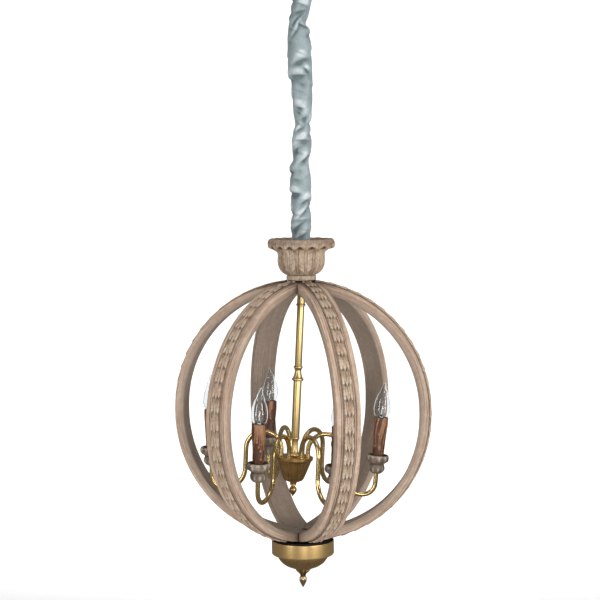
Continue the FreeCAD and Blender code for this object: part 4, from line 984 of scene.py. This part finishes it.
# ---- brass cup, ruffled collar and acorn below ------------------------------------------------------
def make_bottom(sizes):
    """Spun brass cup, ruffled collar and acorn: turned outlines, the last two with waves round them."""
    wall, hole, lip = 1.2, 3.4, 65.6
    outside = softened([(lip - wall, BAND_TOP), (65.2, BAND_TOP), (lip, BAND_TOP - 0.6),
                        (lip, BAND_LOW + 1.2), (65.0, BAND_LOW), (63.1, BAND_LOW - 1.2),
                        (55.0, BAND_LOW - 2.6), (54.0, BAND_LOW - 3.5)], 0.6)
    bowl = rounded([(54.0, BAND_LOW - 3.5), (52.4, BAND_LOW - 8.5), (48.9, BAND_LOW - 14.0),
                    (44.6, BAND_LOW - 18.9), (39.4, BAND_LOW - 23.1), (33.5, BAND_LOW - 26.6),
                    (27.0, BAND_LOW - 29.3), (20.5, BAND_LOW - 31.4), (15.6, BAND_LOW - 32.6),
                    (hole, BOWL_LOW + 0.1)], 1.2)
    outer = np.concatenate([outside[:-1], bowl])
    in_bowl, in_band = [-wall * 0.55, wall * 0.8], [-wall, wall * 0.5]
    inner = outer[::-1] + np.where(outer[::-1, 1:] < BAND_LOW - 1, in_bowl, in_band)
    inner = inner[inner[:, 0] > hole]
    inner[:, 1] = np.minimum(inner[:, 1], BAND_TOP)
    outline = np.concatenate([outer, inner])
    # relief: high on the band and low on the bowl, so the bowl gets painted shade, a painted dark reflection
    band_over_shaded_bowl = smooth(BAND_LOW - 5, BAND_LOW - 1, outline[:, 1:]) * 0.7 + 0.25
    cup = lathe(outline, BRASS_CUP_SIDES, closed=True, relief=band_over_shaded_bowl)
    build("spun_cup", [cup], ["satin brass"], "orb",
          ("bottom_cup",), sharp=35)

    rim = rounded([(hole, -0.3), (9, -0.35), (13.4, -0.4), (15.2, -1.4), (15.1, -3.0), (13.4, -5.6),
                   (11.0, -7.6), (8.4, -9.8), (6.7, -12.2), (5.8, -14.6), (5.4, -15.9), (hole, -15.95)], 0.4)
    ruffle = lathe(rim, RUFFLE_SIDES, closed=True)
    r, a, z = round_axis(ruffle["points"])
    wave, fine, out = np.cos(8 * a), np.cos(24 * a), smooth(6, 12, r)
    wide = r * (1 + out * (0.08 * wave - 0.07) + 0.02 * fine * out)
    tall = z + out * (0.8 * wave - 0.6) * (z < -0.5)
    ruffle["points"] = round_points(wide, a, np.minimum(tall, -0.1) + BOWL_LOW)
    ruffle["relief"] = np.clip(0.55 + 0.3 * wave + 0.2 * fine - 0.35 * smooth(5, 9, -z), 0, 1)
    build("petal_ruffle", [ruffle], ["dark brass"], "orb", ("petal_collar",), sharp=60)

    body = [(0.05, -0.1), (5.0, -0.1), (6.6, -1.5), (7.8, -4.2), (8.2, -7.0), (8.0, -9.4), (6.9, -12.6),
            (5.4, -15.8), (3.6, -19.2), (2.0, -21.9), (1.0, -23.6), (0.05, ACORN_LOW - ACORN_TOP)]
    acorn = lathe(rounded([(r, ACORN_TOP + z) for r, z in body], 0.4), 128, caps=(True, True))
    r, a, z = round_axis(acorn["points"])
    down = ACORN_TOP - z
    leaves = smooth(0.5, 3, down) * smooth(21, 12, down) * (np.abs(np.cos(3 * a)) ** 0.6 - 0.9)
    acorn["points"] = widened(acorn["points"], 1 + 0.1 * leaves)
    acorn["relief"] = np.clip(0.85 + 0.9 * leaves, 0, 1)
    build("acorn", [acorn], ["pale brass"], "orb", ("acorn_finial",), sharp=60)


# ---- candelabra -----------------------------------------------------------------------------------
STEM_BORE = 4.6


def tube(radius, height):
    """Outline of a straight tube from 0 down, round the stem's bore."""
    return [(STEM_BORE, 0), (radius, 0), (radius, height / 2), (radius, height), (STEM_BORE, height)]


# turned pieces of the stem: name, node that it stands for, top, outline from there, corner radius, finish,
# slot and sides
STEM_PIECES = [
    ("ferrule", "stem_ferrule", 0,
     [(6.4, -27), (6.4, 0), (7.9, 0), (8.3, -0.6), (8.3, -25.5), (8.1, -26.6), (9.2, -27.2), (9.9, -28.2),
      (9.9, -30.2), (9.3, -31.2), (7.8, -31.45), (STEM_BORE, -31.45), (STEM_BORE, -27)],
     0.5, "turned brass", "antique_brass", 96),
    ("upper_tube", "stem_upper_tube", -31.5, tube(7.6, KNUCKLE_TOP + 31.6), 0.3, "turned brass",
     "antique_brass", 96),
    ("knuckle", "stem_knuckle", KNUCKLE_TOP,
     [(STEM_BORE, 0), (9.0, -0.1), (9.8, -0.9), (9.8, -3.1), (9.1, -4.1), (7.4, -6.1), (6.9, -8.0),
      (6.9, -11.5), (7.4, -15.5), (8.6, -19.9), (9.6, -23.1), (10.6, -24.7), (12.2, -25.5), (12.4, -26.5),
      (12.4, -28.9), (11.6, -30.1), (9.6, -30.9), (STEM_BORE, -30.9)],
     0.6, "turned brass", "antique_brass", 96),
    ("lower_tube", "stem_lower_tube", LOWER_TOP, tube(8.6, FOOT_TOP - LOWER_TOP + 0.1), 0.3, "turned brass",
     "antique_brass", 96),
    ("stem_foot", "stem_base", FOOT_TOP,
     [(STEM_BORE, 0), (8.8, -0.1), (9.4, -0.9), (9.4, -2.9), (8.6, -4.1), (7.2, -6.1), (6.6, -11), (6.4, -19),
      (6.8, -26), (8.0, -31.5), (9.6, -34.0), (11.8, -35.4), (12.2, -36.6), (12.2, -38.8), (11.4, -40.0),
      (10.6, -40.9), (STEM_BORE, -40.9)],
     0.6, "turned brass", "antique_brass", 96),
    ("hub_lid", "hub_plate", HUB_TOP,
     [(3.3, -2.9), (3.3, 0), (30, 0), (36.5, -0.05), (38.9, -0.3), (39.5, -1.1), (39.5, -2.3), (39.0, -2.9)],
     0.4, "dark brass", "dark_brass", 160),
]


def make_stem(sizes):
    """Ferrule, tubes, knuckle, foot and hub, each a turned outline, leaned with the stem.

    The bowl's ten flutes are waves of the angle: the absolute sine to a power leaves narrow ribs between them.
    """
    for name, node, top, outline, corner, kind, slot, sides in STEM_PIECES:
        part = lathe(softened([(r, z + top) for r, z in outline], corner), sides, closed=True)
        build(name, [moved(part, leaned)], [kind], "orb", (node,), sharp=35)

    ball = rounded([(0.05, -0.05), (3.6, -0.05), (4.1, -1.6), (5.6, -3.8), (7.6, -7.0), (8.0, -9.8),
                    (7.4, -13.2), (5.6, -16.6), (3.4, -19.5), (2.0, -21.4), (1.3, -22.9), (0.05, -23.95)], 0.5)
    part = moved(moved(lathe(ball, 96, caps=(True, True)), raised, HUB_LOW), leaned)
    build("hub_ball", [part], ["dark brass"], "orb", ("hub_finial",), sharp=60)

    outside = rounded([(39.5, -3.1), (39.3, -6.0), (38.0, -7.6), (36.4, -9.2), (34.6, -14.2), (31.8, -22.0),
                       (29.0, -29.2), (25.8, -37.5), (23.0, -44.3), (20.8, -48.6), (17.6, -51.2), (12.0, -53.2),
                       (8.0, -55.0), (7.0, -57.0), (6.6, -59.5), (7.0, -61.4)], 0.6)
    inside = rounded([(3.4, -61.4), (3.4, -50.0), (15.5, -49.0), (19.5, -45.0), (25.6, -30.0), (31.4, -14.5),
                      (33.4, -9.0), (36.6, -6.4), (37.0, -3.1)], 1.5)
    bowl = lathe(np.concatenate([outside, inside]), HUB_BOWL_SIDES, closed=True)
    r, a, z = round_axis(bowl["points"])
    outer_rows = (np.arange(len(z)) < len(outside))[:, None]
    flute = np.abs(np.sin(5 * (a - math.radians(12)))) ** 0.6
    depth = smooth(-8.5, -14.0, z) * smooth(-53.0, -47.0, z) * outer_rows
    scale = 1 - 0.04 * depth * (1 - flute) + 0.01 * depth * flute
    bowl["points"] = leaned(raised(widened(bowl["points"], scale), HUB_TOP))
    bowl["relief"] = np.clip(0.8 - 0.45 * depth * (1 - flute) - 0.3 * bell(z + 8.4, 1.2) * outer_rows
                             - 0.4 * bell(z + 55.0, 1.6) * outer_rows, 0, 1)
    build("fluted_bowl", [bowl], ["dark brass"], "orb", ("hub_bowl",), sharp=60)


def arc(middle, radius, first, last, count):
    """Points of a circle between two angles, without the first: the middle plus radius by cosine and sine."""
    t = np.linspace(first, last, count)[1:]
    return np.stack([middle[0] + radius * np.cos(t), middle[1] + radius * np.sin(t)], 1)


def arm_path():
    """Middle of an arm at the front: up, a half circle over, down, a quarter circle out and an arc back up."""
    knee = ARM_RISE - ARM_DOWN
    far = ARM_START + 2 * ARCH_R
    first = np.stack([np.full(8, ARM_START), np.linspace(-8, ARM_RISE, 8)], 1)
    over = arc((ARM_START + ARCH_R, ARM_RISE), ARCH_R, math.pi, 0, 40)
    fall = np.stack([np.full(9, far), np.linspace(ARM_RISE, knee, 10)[1:]], 1)
    out = arc((far + SWEEP_R, knee), SWEEP_R, math.pi, math.pi * 1.5, 30)
    middle = far + SWEEP_R, knee - SWEEP_R + RETURN_R
    back = arc(middle, RETURN_R, math.pi * 1.5, math.pi * 2 - CANDLE_LEAN, 26)
    reach = np.linspace(0, CANDLE_PIPE + 29, 14)[1:, None]
    end = back[-1] + reach * np.array([math.sin(CANDLE_LEAN), math.cos(CANDLE_LEAN)])
    line = np.concatenate([first, over, fall, out, back, end])
    return np.stack([0 * line[:, 0], -line[:, 0], line[:, 1] + HUB_TOP], 1)


def make_arms(sizes):
    """Six bent brass tubes: a round section carried along the arm's line, with a small ring on the hub."""
    arm = carried(arm_path(), ARM_R, 20, caps=(True, True))
    outline = softened([(5.05, 0.1), (6.0, 0.1), (6.3, 0.6), (6.1, 1.4), (5.1, 1.8)], 0.3)
    ring = lathe(outline[::-1], 32, closed=True)
    ring["points"] = ring["points"] + np.array([0, -ARM_START, HUB_TOP])
    for k, azimuth in enumerate(ARM_AZIMUTHS):
        parts = [moved(moved(part, turned, azimuth), leaned) for part in (arm, ring)]
        build("brass_arm_%d" % (k + 1), parts, ["aged brass"], "orb", ("arm_%d" % (k + 1),),
              sharp=45)


# ---- candles ----------------------------------------------------------------------------------------
WAX_RUNS = 17
CANDLE_SEED = 50


def candle_cup(outline, seed):
    """Turned candle cup: nine lobes round its bulge and eleven dimples round its bowl, by waves of the angle."""
    cup = lathe(outline, CANDLE_CUP_SIDES, closed=True)
    r, a, z = round_axis(cup["points"])
    lobes = bell(z - 10, 6.5) * np.cos(9 * a) * (r > 8)
    bowl = bell(z - 32, 6.0)
    uneven = 0.6 * np.cos(11 * a + seed) + 0.5 * clump(6 * np.sin(a), 6 * np.cos(a) + z * 0.2, 31 + seed)
    dimple = bowl * uneven * (r > 17)
    cup["points"] = widened(cup["points"], 1 + 0.026 * lobes + 0.024 * (dimple - 0.5 * bowl * (r > 17)))
    # relief: lighter on the lobes, the dimples' rises and the rim (wear and painted highlight); grime and
    # painted shade in the dips, the neck's crease and inside the bowl
    cup["relief"] = np.clip(0.7 + 0.25 * lobes + 0.3 * dimple - 0.55 * bell(z - 20.6, 1.8) * (r > 13.5)
                            - 0.45 * (r < 20) * (z > 24) + 0.2 * bell(z - 37, 3), 0, 1)
    return cup


def drip_candle(sizes, seed):
    """Candle tube with wax runs: ridges down it that end in round drops, from a seed's list of runs.

    Each run is a ridge by a bell curve at its own angle, which wanders by a sine, and is highest at the top. It
    stops at its own length in a fatter drop. Between the runs the wax is uneven, and its top edge is rounded.
    """
    rng = np.random.default_rng(seed)
    up, down = np.linspace(0, CANDLE_H, CANDLE_ROWS), np.linspace(CANDLE_H, 0, BORE_ROWS)
    a = full_turn(CANDLE_SIDES)
    z, angle = np.meshgrid(up, a, indexing="ij")
    body = np.interp(up, [0, 25, 50, 70, 85, CANDLE_H], [11.3, 11.7, 12.4, 13.4, 14.3, 14.4])[:, None]
    room = np.interp(up, [0, 50, 85, CANDLE_H], [12.0, 13.0, 15.2, 15.2])[:, None]
    runs = np.zeros_like(z)
    for _ in range(WAX_RUNS):
        where, reach, wide = rng.uniform(0, 2 * math.pi), rng.uniform(12, 92), rng.uniform(0.10, 0.2)
        turn = np.abs((angle - where + 0.25 * np.sin(z / 17 + where) + math.pi) % (2 * math.pi) - math.pi)
        end = CANDLE_H - reach
        ridge = bell(turn, wide) * smooth(end - 1, end + 2, z) * (0.75 + 0.25 * smooth(end, CANDLE_H, z))
        drop = 1.15 * np.exp(-((turn * 13 / 2.6) ** 2 + ((z - end - 1.5) / 3.6) ** 2))
        runs = np.maximum(np.maximum(runs, ridge), drop)
    lumps = 0.22 * clump(4 * np.sin(angle) + z / 9, 4 * np.cos(angle) - z / 14, seed)
    rim = 0.5 * bell(z - CANDLE_H + 2.4, 2.6)
    round_off = 0.9 * smooth(CANDLE_H - 1.2, CANDLE_H, z)
    radius = body + sizes.drip_depth * (runs * 0.9 + lumps * 0.5) + rim - round_off
    outer = round_points(np.clip(radius, body - 0.3, room), angle, z)
    bore = np.interp(down, [0, 50, 85, CANDLE_H], [10.5, 11.2, 12.4, 12.4])[:, None]
    points = np.concatenate([outer, round_points(bore, a, down[:, None])])[::-1]
    # relief: painted highlights on the runs and lumps and towards the top; painted shade towards the bottom,
    # between the runs and in the bore
    relief = np.clip(0.38 + 0.62 * runs + 0.3 * lumps + 0.2 * smooth(45, 95, z) - 0.2 * smooth(40, 0, z), 0, 1)
    relief = np.concatenate([relief, np.full((BORE_ROWS, CANDLE_SIDES), 0.35)])[::-1]
    return surface(points, wrap=(True, True), relief=relief)


def make_candles(sizes):
    """Candle cups, dripped resin candles and lampholders: those of all six arms are one piece each."""
    cup = softened([(5.1, 0), (8.6, 0), (10.4, 1.2), (13.4, 3.6), (15.9, 7.4), (16.6, 11.4), (16.1, 15.2),
                    (14.9, 18.0), (14.4, 19.8), (14.8, 21.0), (17.2, 23.2), (21.4, 25.8), (23.7, 28.8),
                    (24.3, 33.0), (23.8, 36.6), (22.4, 39.0), (20.6, 39.9), (19.2, 38.8), (17.0, 34.6),
                    (14.6, 31.4), (12.9, 28), (12.9, 18.1), (5.1, 18.1)], 1.0)[::-1]
    top, low = CANDLE_LOW + CANDLE_H - 1.5, CAP_LOW - 2.0
    holder = softened([(0.05, 30.4), (0.05, low), (6.9, low), (6.9, top), (7.4, top + 0.4), (10.4, top + 0.4),
                       (11.0, top - 0.4), (11.0, low - 8), (7.6, low - 12), (7.6, 18.5), (5.15, 18.5),
                       (5.15, 30.4)], 0.4)
    holder = lathe(holder, 64, closed=True)
    pans, candles, sockets = [], [], []
    for k, azimuth in enumerate(ARM_AZIMUTHS):
        pans.append(moved(candle_cup(cup, k), on_candle, azimuth))
        candle = moved(drip_candle(sizes, CANDLE_SEED + k), raised, CANDLE_LOW)
        candles.append(moved(candle, on_candle, azimuth))
        sockets.append(moved(holder, on_candle, azimuth))
    build("candle_pans", pans, ["weathered cup"], "orb", ("candle_cups",), sharp=50)
    build("drip_candles", candles, ["drip resin"], "orb", ("candle_sleeves",), sharp=60)
    build("sockets", sockets, ["moulded socket"], "orb", ("lampholders",), sharp=40)


# ---- bulbs ------------------------------------------------------------------------------------------
BULB_FOOT = CAP_LOW + CAP_H + 0.1
BENT_TOWARDS = (205, 150, 330, 160, 20, 250)       # degrees round the room in which each glass tip bends
GLASS_T = 0.4
BULB_SEED = 90
THREAD_R, THREAD_PITCH = 6.25, 2.82
GLASS, METAL, WIRE = 0, 1, 2                       # places of a bulb's finishes on its piece


def over_foot(points):
    """Outline or path points given from the glass's foot up."""
    return [(*point[:-1], BULB_FOOT + point[-1]) for point in points]


def bulb_inside():
    """Surfaces of the mount, lead wires, hook and filament, which is a helix along a hanging line."""
    mount = [(0.05, 19), (1.2, 18.6), (2.2, 17), (1.7, 13), (2.0, 8), (3.6, 2.4), (4.4, 1.4), (0.05, 1.2)]
    parts = [lathe(rounded(over_foot(mount), 1.0), 24, finish=GLASS)]
    wires = [([(side * 1.1, 0, 17.4), (side * 2.2, 0, 22), (side * 5.0, 0.3, 30), (side * 5.4, 0.2, 37)], 0.22)
             for side in (-1, 1)]
    wires.append(([(0, 0, 18.8), (0, 1.0, 26), (0.2, 1.2, 33), (0, 0.3, 35)], 0.14))
    for path, radius in wires:
        parts.append(carried(rounded(over_foot(path), 1.2), radius, 6, finish=WIRE, caps=(True, True)))
    t = np.linspace(0, 1, 240)
    quarters = [0, 0.25, 0.5, 0.75, 1]
    across = np.interp(t, quarters, [-5.4, -2.6, 0, 2.6, 5.4])
    sag = np.interp(t, quarters, [37, 30, 35, 30, 37])
    coil = np.stack([across, 0.34 * np.cos(t * 300), BULB_FOOT + sag + 0.34 * np.sin(t * 300)], 1)
    parts.append(carried(coil, 0.09, 5, finish=WIRE, caps=(True, True)))
    return parts


def bulb_cap():
    """Turned cap, and its thread: a tube whose radius is a sine of its height and angle."""
    cap = [(0.05, BULB_FOOT - 0.2), (5.2, BULB_FOOT - 0.2), (6.3, BULB_FOOT - 1.0), (6.3, CAP_LOW + 6),
           (5.6, CAP_LOW + 4.6), (3.2, CAP_LOW + 1.4), (2.8, CAP_LOW + 0.2), (0.05, CAP_LOW)]
    rows = np.linspace(BULB_FOOT - 1.2, CAP_LOW + 6.2, 60)
    thread = lathe(np.stack([np.full(60, THREAD_R), rows], 1), 48, finish=METAL)
    _, a, z = round_axis(thread["points"])
    swell = 1 + 0.035 * np.cos(z * 2 * math.pi / THREAD_PITCH - a) - 0.002
    return [lathe(softened(cap, 0.4, 4), 48, caps=(True, True), finish=METAL), moved(thread, widened, swell)]


def bent(points, bend, way):
    """Flame points bent over by a power of the height over the shoulder, and twisted ridges on the tip."""
    x, y, z = np.moveaxis(points, -1, 0)
    share = np.clip((z - BULB_FOOT - 30) / 46, 0, 1)
    scale = 1 + 0.07 * smooth(0.15, 0.6, share) * np.cos(3 * (np.arctan2(x, -y) - z / 7.5))
    shift = bend * share ** 2.2
    x, y = x * scale + shift * math.sin(way), y * scale - shift * math.cos(way)
    return np.stack([x, y, z - 0.8 * share ** 3], -1)


def make_bulbs(sizes):
    """Six candle bulbs: a thin glass flame with a bent tip, its mount, wires, filament and threaded cap."""
    flame = [(5.4, 0), (8.6, 0.2), (10.4, 1.2), (13.9, 4.6), (16.4, 10.4), (17.5, 18.4), (17.1, 26), (15.6, 34),
             (13.2, 42), (10.3, 50), (7.5, 57), (5.2, 63), (3.5, 68), (2.2, 72), (1.1, 75), (0.05, 75.9)]
    flame = rounded(over_foot(flame), 1.1)[::-1]
    inner = np.stack([np.maximum(flame[:, 0] - GLASS_T, 0.04),
                      np.minimum(np.maximum(flame[:, 1], BULB_FOOT + 0.6), BULB_FOOT + 74.8)], 1)
    glass = [lathe(flame, 64, caps=(True, True), finish=GLASS),
             lathe(inner, 64, caps=(True, True), finish=GLASS, flip=True)]
    mount, *wires = bulb_inside()
    for k, azimuth in enumerate(ARM_AZIMUTHS):
        way = math.radians(BENT_TOWARDS[k] - azimuth)
        spin = np.random.default_rng(BULB_SEED + k).uniform(0, 360)
        parts = [moved(part, bent, sizes.flame_bend, way) for part in glass] + [mount]
        parts += [moved(part, turned, spin) for part in wires + bulb_cap()]
        build("candle_bulb_%d" % (k + 1), [moved(part, on_candle, azimuth) for part in parts],
              ["clear glass", "cap metal", "filament wire"], "bulb_%d_lamp" % (k + 1),
              ("bulb_%d" % (k + 1),), sharp=70)


# ---- ceiling fitting and the nodes that keep their own shape ----------------------------------------
def make_canopy(sizes):
    """Spun canopy: a rolled lip at the ceiling, a domed wall with two raised rings, and a flat by its hole."""
    hole = 5.3
    outside = np.concatenate([
        rounded([(62.4, -0.1), (63.4, -0.4), (63.6, -2.0), (62.8, -3.8), (61.0, -4.8)], 0.5),
        rounded([(60.2, -5.0), (59.6, -7.5), (56.4, -12.5), (50.4, -17.6), (47.6, -19.2)], 1.0),
        rounded([(46.6, -19.2), (45.6, -20.4), (44.4, -20.6), (43.4, -21.2)], 0.4),
        rounded([(42.4, -22.2), (34.0, -26.4), (24.0, -29.6), (15.5, -31.0), (hole, -31.0)], 1.2)])
    inside = (outside + [-1.0, 1.1])[::-1]
    inside = inside[inside[:, 0] > hole]
    inside[:, 1] = np.minimum(inside[:, 1], -0.05)
    canopy = lathe(np.concatenate([outside, inside]), 144, closed=True)
    build("spun_canopy", [canopy], ["aged brass"], "ceiling", ("canopy_dome",), sharp=40)


PLAIN_NODES = {
    "plated steel": ("canopy_strap", "canopy_nipple", "canopy_lock_nut", "top_rod", "cup_nut", "tie_rod",
                     "tie_rod_nuts", "hub_tie"),
    "fitting brass": ("canopy_collar", "canopy_loop", "top_link", "chain_links", "bottom_link", "hang_loop",
                      "arm_nuts"),
    "black steel": ("top_plate", "top_rib_screws", "bottom_disc", "bottom_rib_screws"),
}


def finish_nodes(sizes):
    """Give each node that keeps its own shape its finish."""
    for kind, names in PLAIN_NODES.items():
        for name in names:
            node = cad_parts[name]
            if not node.material_slots:
                node.data.materials.append(finish(kind))
            for held in node.material_slots:
                held.material = finish(kind)


# ---- room, light and camera, in metres ---------------------------------------------------------------
FLOOR_Z = -1.62
ROOM_HALF, FLOOR_FRONT, CURVE_START, CURVE_R, WALL_TOP = 9.0, -9.0, 3.5, 2.5, 7.0
AIM = (0, 0, -0.9)
LAMPS = [    # name, place, what it looks at, width, height and power
    ("window left", (-2.5, -2.5, -0.2), AIM, 0.9, 2.6, 48.0),
    ("window right", (2.4, -2.5, -0.2), AIM, 0.8, 2.6, 62.0),
    ("window side", (3.2, -1.4, -0.2), AIM, 0.3, 2.6, 18.0),
    ("front fill", (0.4, -4.6, -0.9), AIM, 1.6, 1.2, 46.0),
    ("overhead", (0.2, -0.4, 2.4), AIM, 2.2, 2.2, 46.0),
    ("wall wash", (0.0, 1.6, 1.6), (0, 5.5, 0.2), 3.0, 3.0, 200.0),
]
CAMERA_PLACE, CAMERA_DOWN, CAMERA_ROLL, LENS_MM = (-0.0031, -3.5252, -0.4374), 4.805, -0.33, 101.92


def make_backdrop():
    """Floor that turns up into a wall over a quarter circle: the same line of (y, z) points at three x."""
    t = np.linspace(0, math.pi / 2, 24)
    curve = np.stack([CURVE_START + CURVE_R * np.sin(t), FLOOR_Z + CURVE_R - CURVE_R * np.cos(t)], 1)
    line = np.concatenate([[[FLOOR_FRONT, FLOOR_Z]], curve, [[CURVE_START + CURVE_R, WALL_TOP]]])
    x = np.linspace(-ROOM_HALF, ROOM_HALF, 3)
    points = np.stack(np.broadcast_arrays(x[None], line[:, :1], line[:, 1:]), -1)
    rows, cols = points.shape[:2]
    r, c = np.meshgrid(np.arange(rows - 1), np.arange(cols - 1), indexing="ij")
    quads = np.stack([(r + a) * cols + c + b for a, b in ((0, 0), (0, 1), (1, 1), (1, 0))], -1).reshape(-1, 4)
    mesh = bpy.data.meshes.new("room")
    mesh.from_pydata(points.reshape(-1, 3).tolist(), [], quads.tolist())
    mesh.polygons.foreach_set("use_smooth", np.ones(len(mesh.polygons), dtype=bool))
    paper = bpy.data.materials.new("pale paper")
    paper.use_nodes = True
    tree = paper.node_tree
    tone = clouds(tree, put(tree, "ShaderNodeTexCoord").outputs["Object"], scale=1.5, low=0.3, high=0.7)
    shader = tree.nodes["Principled BSDF"]
    shader.inputs["Roughness"].default_value = 0.9
    tree.links.new(blended(tree, tone, (0.93, 0.93, 0.925), (0.95, 0.95, 0.95)), shader.inputs["Base Color"])
    mesh.materials.append(paper)
    room = bpy.data.objects.new("room", mesh)
    bpy.context.scene.collection.objects.link(room)
    room.visible_glossy = False


def make_room(sizes):
    """Pale floor and wall, soft area lights, and the camera at the photograph's angle."""
    scene = bpy.context.scene
    scene.world = bpy.data.worlds.new("studio air")
    scene.world.use_nodes = True
    air = scene.world.node_tree.nodes["Background"]
    air.inputs["Color"].default_value = (1.0, 1.0, 1.0, 1.0)
    air.inputs["Strength"].default_value = 0.2
    make_backdrop()
    for name, place, look, wide, tall, power in LAMPS:
        lamp = bpy.data.lights.new(name, "AREA")
        lamp.shape, lamp.size, lamp.size_y, lamp.energy = "RECTANGLE", wide, tall, power
        light = bpy.data.objects.new(name, lamp)
        aim = np.asarray(look, float) - place
        aim /= np.linalg.norm(aim)
        yaw, tilt = math.atan2(aim[0], aim[1]), math.acos(-aim[2])
        turn = Matrix.Rotation(-yaw, 4, "Z") @ Matrix.Rotation(tilt, 4, "X")
        light.matrix_world = Matrix.Translation(place) @ turn
        scene.collection.objects.link(light)
    lens = bpy.data.cameras.new("photo camera")
    lens.sensor_width, lens.lens, lens.clip_end = 36.0, LENS_MM, 60.0
    camera = bpy.data.objects.new("photo camera", lens)
    tilt = Matrix.Rotation(math.radians(90 - CAMERA_DOWN), 4, "X")
    roll = Matrix.Rotation(math.radians(CAMERA_ROLL), 4, "Z")
    camera.matrix_world = Matrix.Translation(CAMERA_PLACE) @ tilt @ roll
    scene.collection.objects.link(camera)
    scene.camera = camera
    scene.view_settings.view_transform = "Standard"


# ---- add-on ------------------------------------------------------------------------------------------
class CHANDELIER_OT_ribs(bpy.types.Operator):
    """Build the six bentwood ribs and the leaf garlands on them."""
    bl_idname = "chandelier.ribs"
    bl_label = "Ribs and garlands"

    def execute(self, context):
        make_ribs(context.scene.chandelier_sizes)
        return {"FINISHED"}


class CHANDELIER_OT_cup(bpy.types.Operator):
    """Build the carved wooden cup on top of the orb."""
    bl_idname = "chandelier.cup"
    bl_label = "Carved cup"

    def execute(self, context):
        make_cup(context.scene.chandelier_sizes)
        return {"FINISHED"}


class CHANDELIER_OT_sleeve(bpy.types.Operator):
    """Build the ruched satin sleeve over the chain."""
    bl_idname = "chandelier.sleeve"
    bl_label = "Cloth sleeve"

    def execute(self, context):
        make_sleeve(context.scene.chandelier_sizes)
        return {"FINISHED"}


class CHANDELIER_OT_bottom(bpy.types.Operator):
    """Build the spun brass cup, its ruffled collar and the acorn."""
    bl_idname = "chandelier.bottom"
    bl_label = "Brass cup and acorn"

    def execute(self, context):
        make_bottom(context.scene.chandelier_sizes)
        return {"FINISHED"}


class CHANDELIER_OT_stem(bpy.types.Operator):
    """Build the candelabra's turned stem and its fluted hub."""
    bl_idname = "chandelier.stem"
    bl_label = "Stem and hub"

    def execute(self, context):
        make_stem(context.scene.chandelier_sizes)
        return {"FINISHED"}


class CHANDELIER_OT_arms(bpy.types.Operator):
    """Build the six bent brass arms."""
    bl_idname = "chandelier.arms"
    bl_label = "Arms"

    def execute(self, context):
        make_arms(context.scene.chandelier_sizes)
        return {"FINISHED"}


class CHANDELIER_OT_candles(bpy.types.Operator):
    """Build the candle cups, the drip candles and the lampholders."""
    bl_idname = "chandelier.candles"
    bl_label = "Candles"

    def execute(self, context):
        make_candles(context.scene.chandelier_sizes)
        return {"FINISHED"}


class CHANDELIER_OT_bulbs(bpy.types.Operator):
    """Build the six candle bulbs."""
    bl_idname = "chandelier.bulbs"
    bl_label = "Bulbs"

    def execute(self, context):
        make_bulbs(context.scene.chandelier_sizes)
        return {"FINISHED"}


class CHANDELIER_OT_canopy(bpy.types.Operator):
    """Build the spun canopy at the ceiling."""
    bl_idname = "chandelier.canopy"
    bl_label = "Canopy"

    def execute(self, context):
        make_canopy(context.scene.chandelier_sizes)
        return {"FINISHED"}


class CHANDELIER_OT_finishes(bpy.types.Operator):
    """Give the nodes that keep their own shape their finishes."""
    bl_idname = "chandelier.finishes"
    bl_label = "Finishes of plain nodes"

    def execute(self, context):
        finish_nodes(context.scene.chandelier_sizes)
        return {"FINISHED"}


class CHANDELIER_OT_room(bpy.types.Operator):
    """Build the pale room, the studio light and the camera."""
    bl_idname = "chandelier.room"
    bl_label = "Room, light and camera"

    def execute(self, context):
        make_room(context.scene.chandelier_sizes)
        return {"FINISHED"}


class CHANDELIER_PT_panel(bpy.types.Panel):
    """Sizes, colours and building steps of the chandelier, in the 3D view's sidebar."""
    bl_idname = "CHANDELIER_PT_panel"
    bl_label = "Orb chandelier"
    bl_space_type = "VIEW_3D"
    bl_region_type = "UI"
    bl_category = "Chandelier"

    def draw(self, context):
        for group in (context.scene.chandelier_sizes, context.scene.chandelier_colours):
            box = self.layout.box()
            for name in group.__annotations__:
                box.prop(group, name)
        for step in STEPS:
            self.layout.operator(step.bl_idname)


STEPS = (CHANDELIER_OT_ribs, CHANDELIER_OT_cup, CHANDELIER_OT_sleeve, CHANDELIER_OT_bottom,
         CHANDELIER_OT_stem, CHANDELIER_OT_arms, CHANDELIER_OT_candles, CHANDELIER_OT_bulbs,
         CHANDELIER_OT_canopy, CHANDELIER_OT_finishes, CHANDELIER_OT_room)
CLASSES = (ChandelierSizes, ChandelierColours) + STEPS + (CHANDELIER_PT_panel,)


def register():
    """Register the classes, and hang the sizes and colours on the scene."""
    for kind in CLASSES:
        bpy.utils.register_class(kind)
    bpy.types.Scene.chandelier_sizes = bpy.props.PointerProperty(type=ChandelierSizes)
    bpy.types.Scene.chandelier_colours = bpy.props.PointerProperty(type=ChandelierColours)


def unregister():
    """Take the sizes, the colours and the classes away again."""
    del bpy.types.Scene.chandelier_sizes
    del bpy.types.Scene.chandelier_colours
    for kind in reversed(CLASSES):
        bpy.utils.unregister_class(kind)


def main():
    """Register the add-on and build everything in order."""
    register()
    for step in STEPS:
        getattr(bpy.ops.chandelier, step.bl_idname.split(".")[1])()


if __name__ == "__main__":
    main()
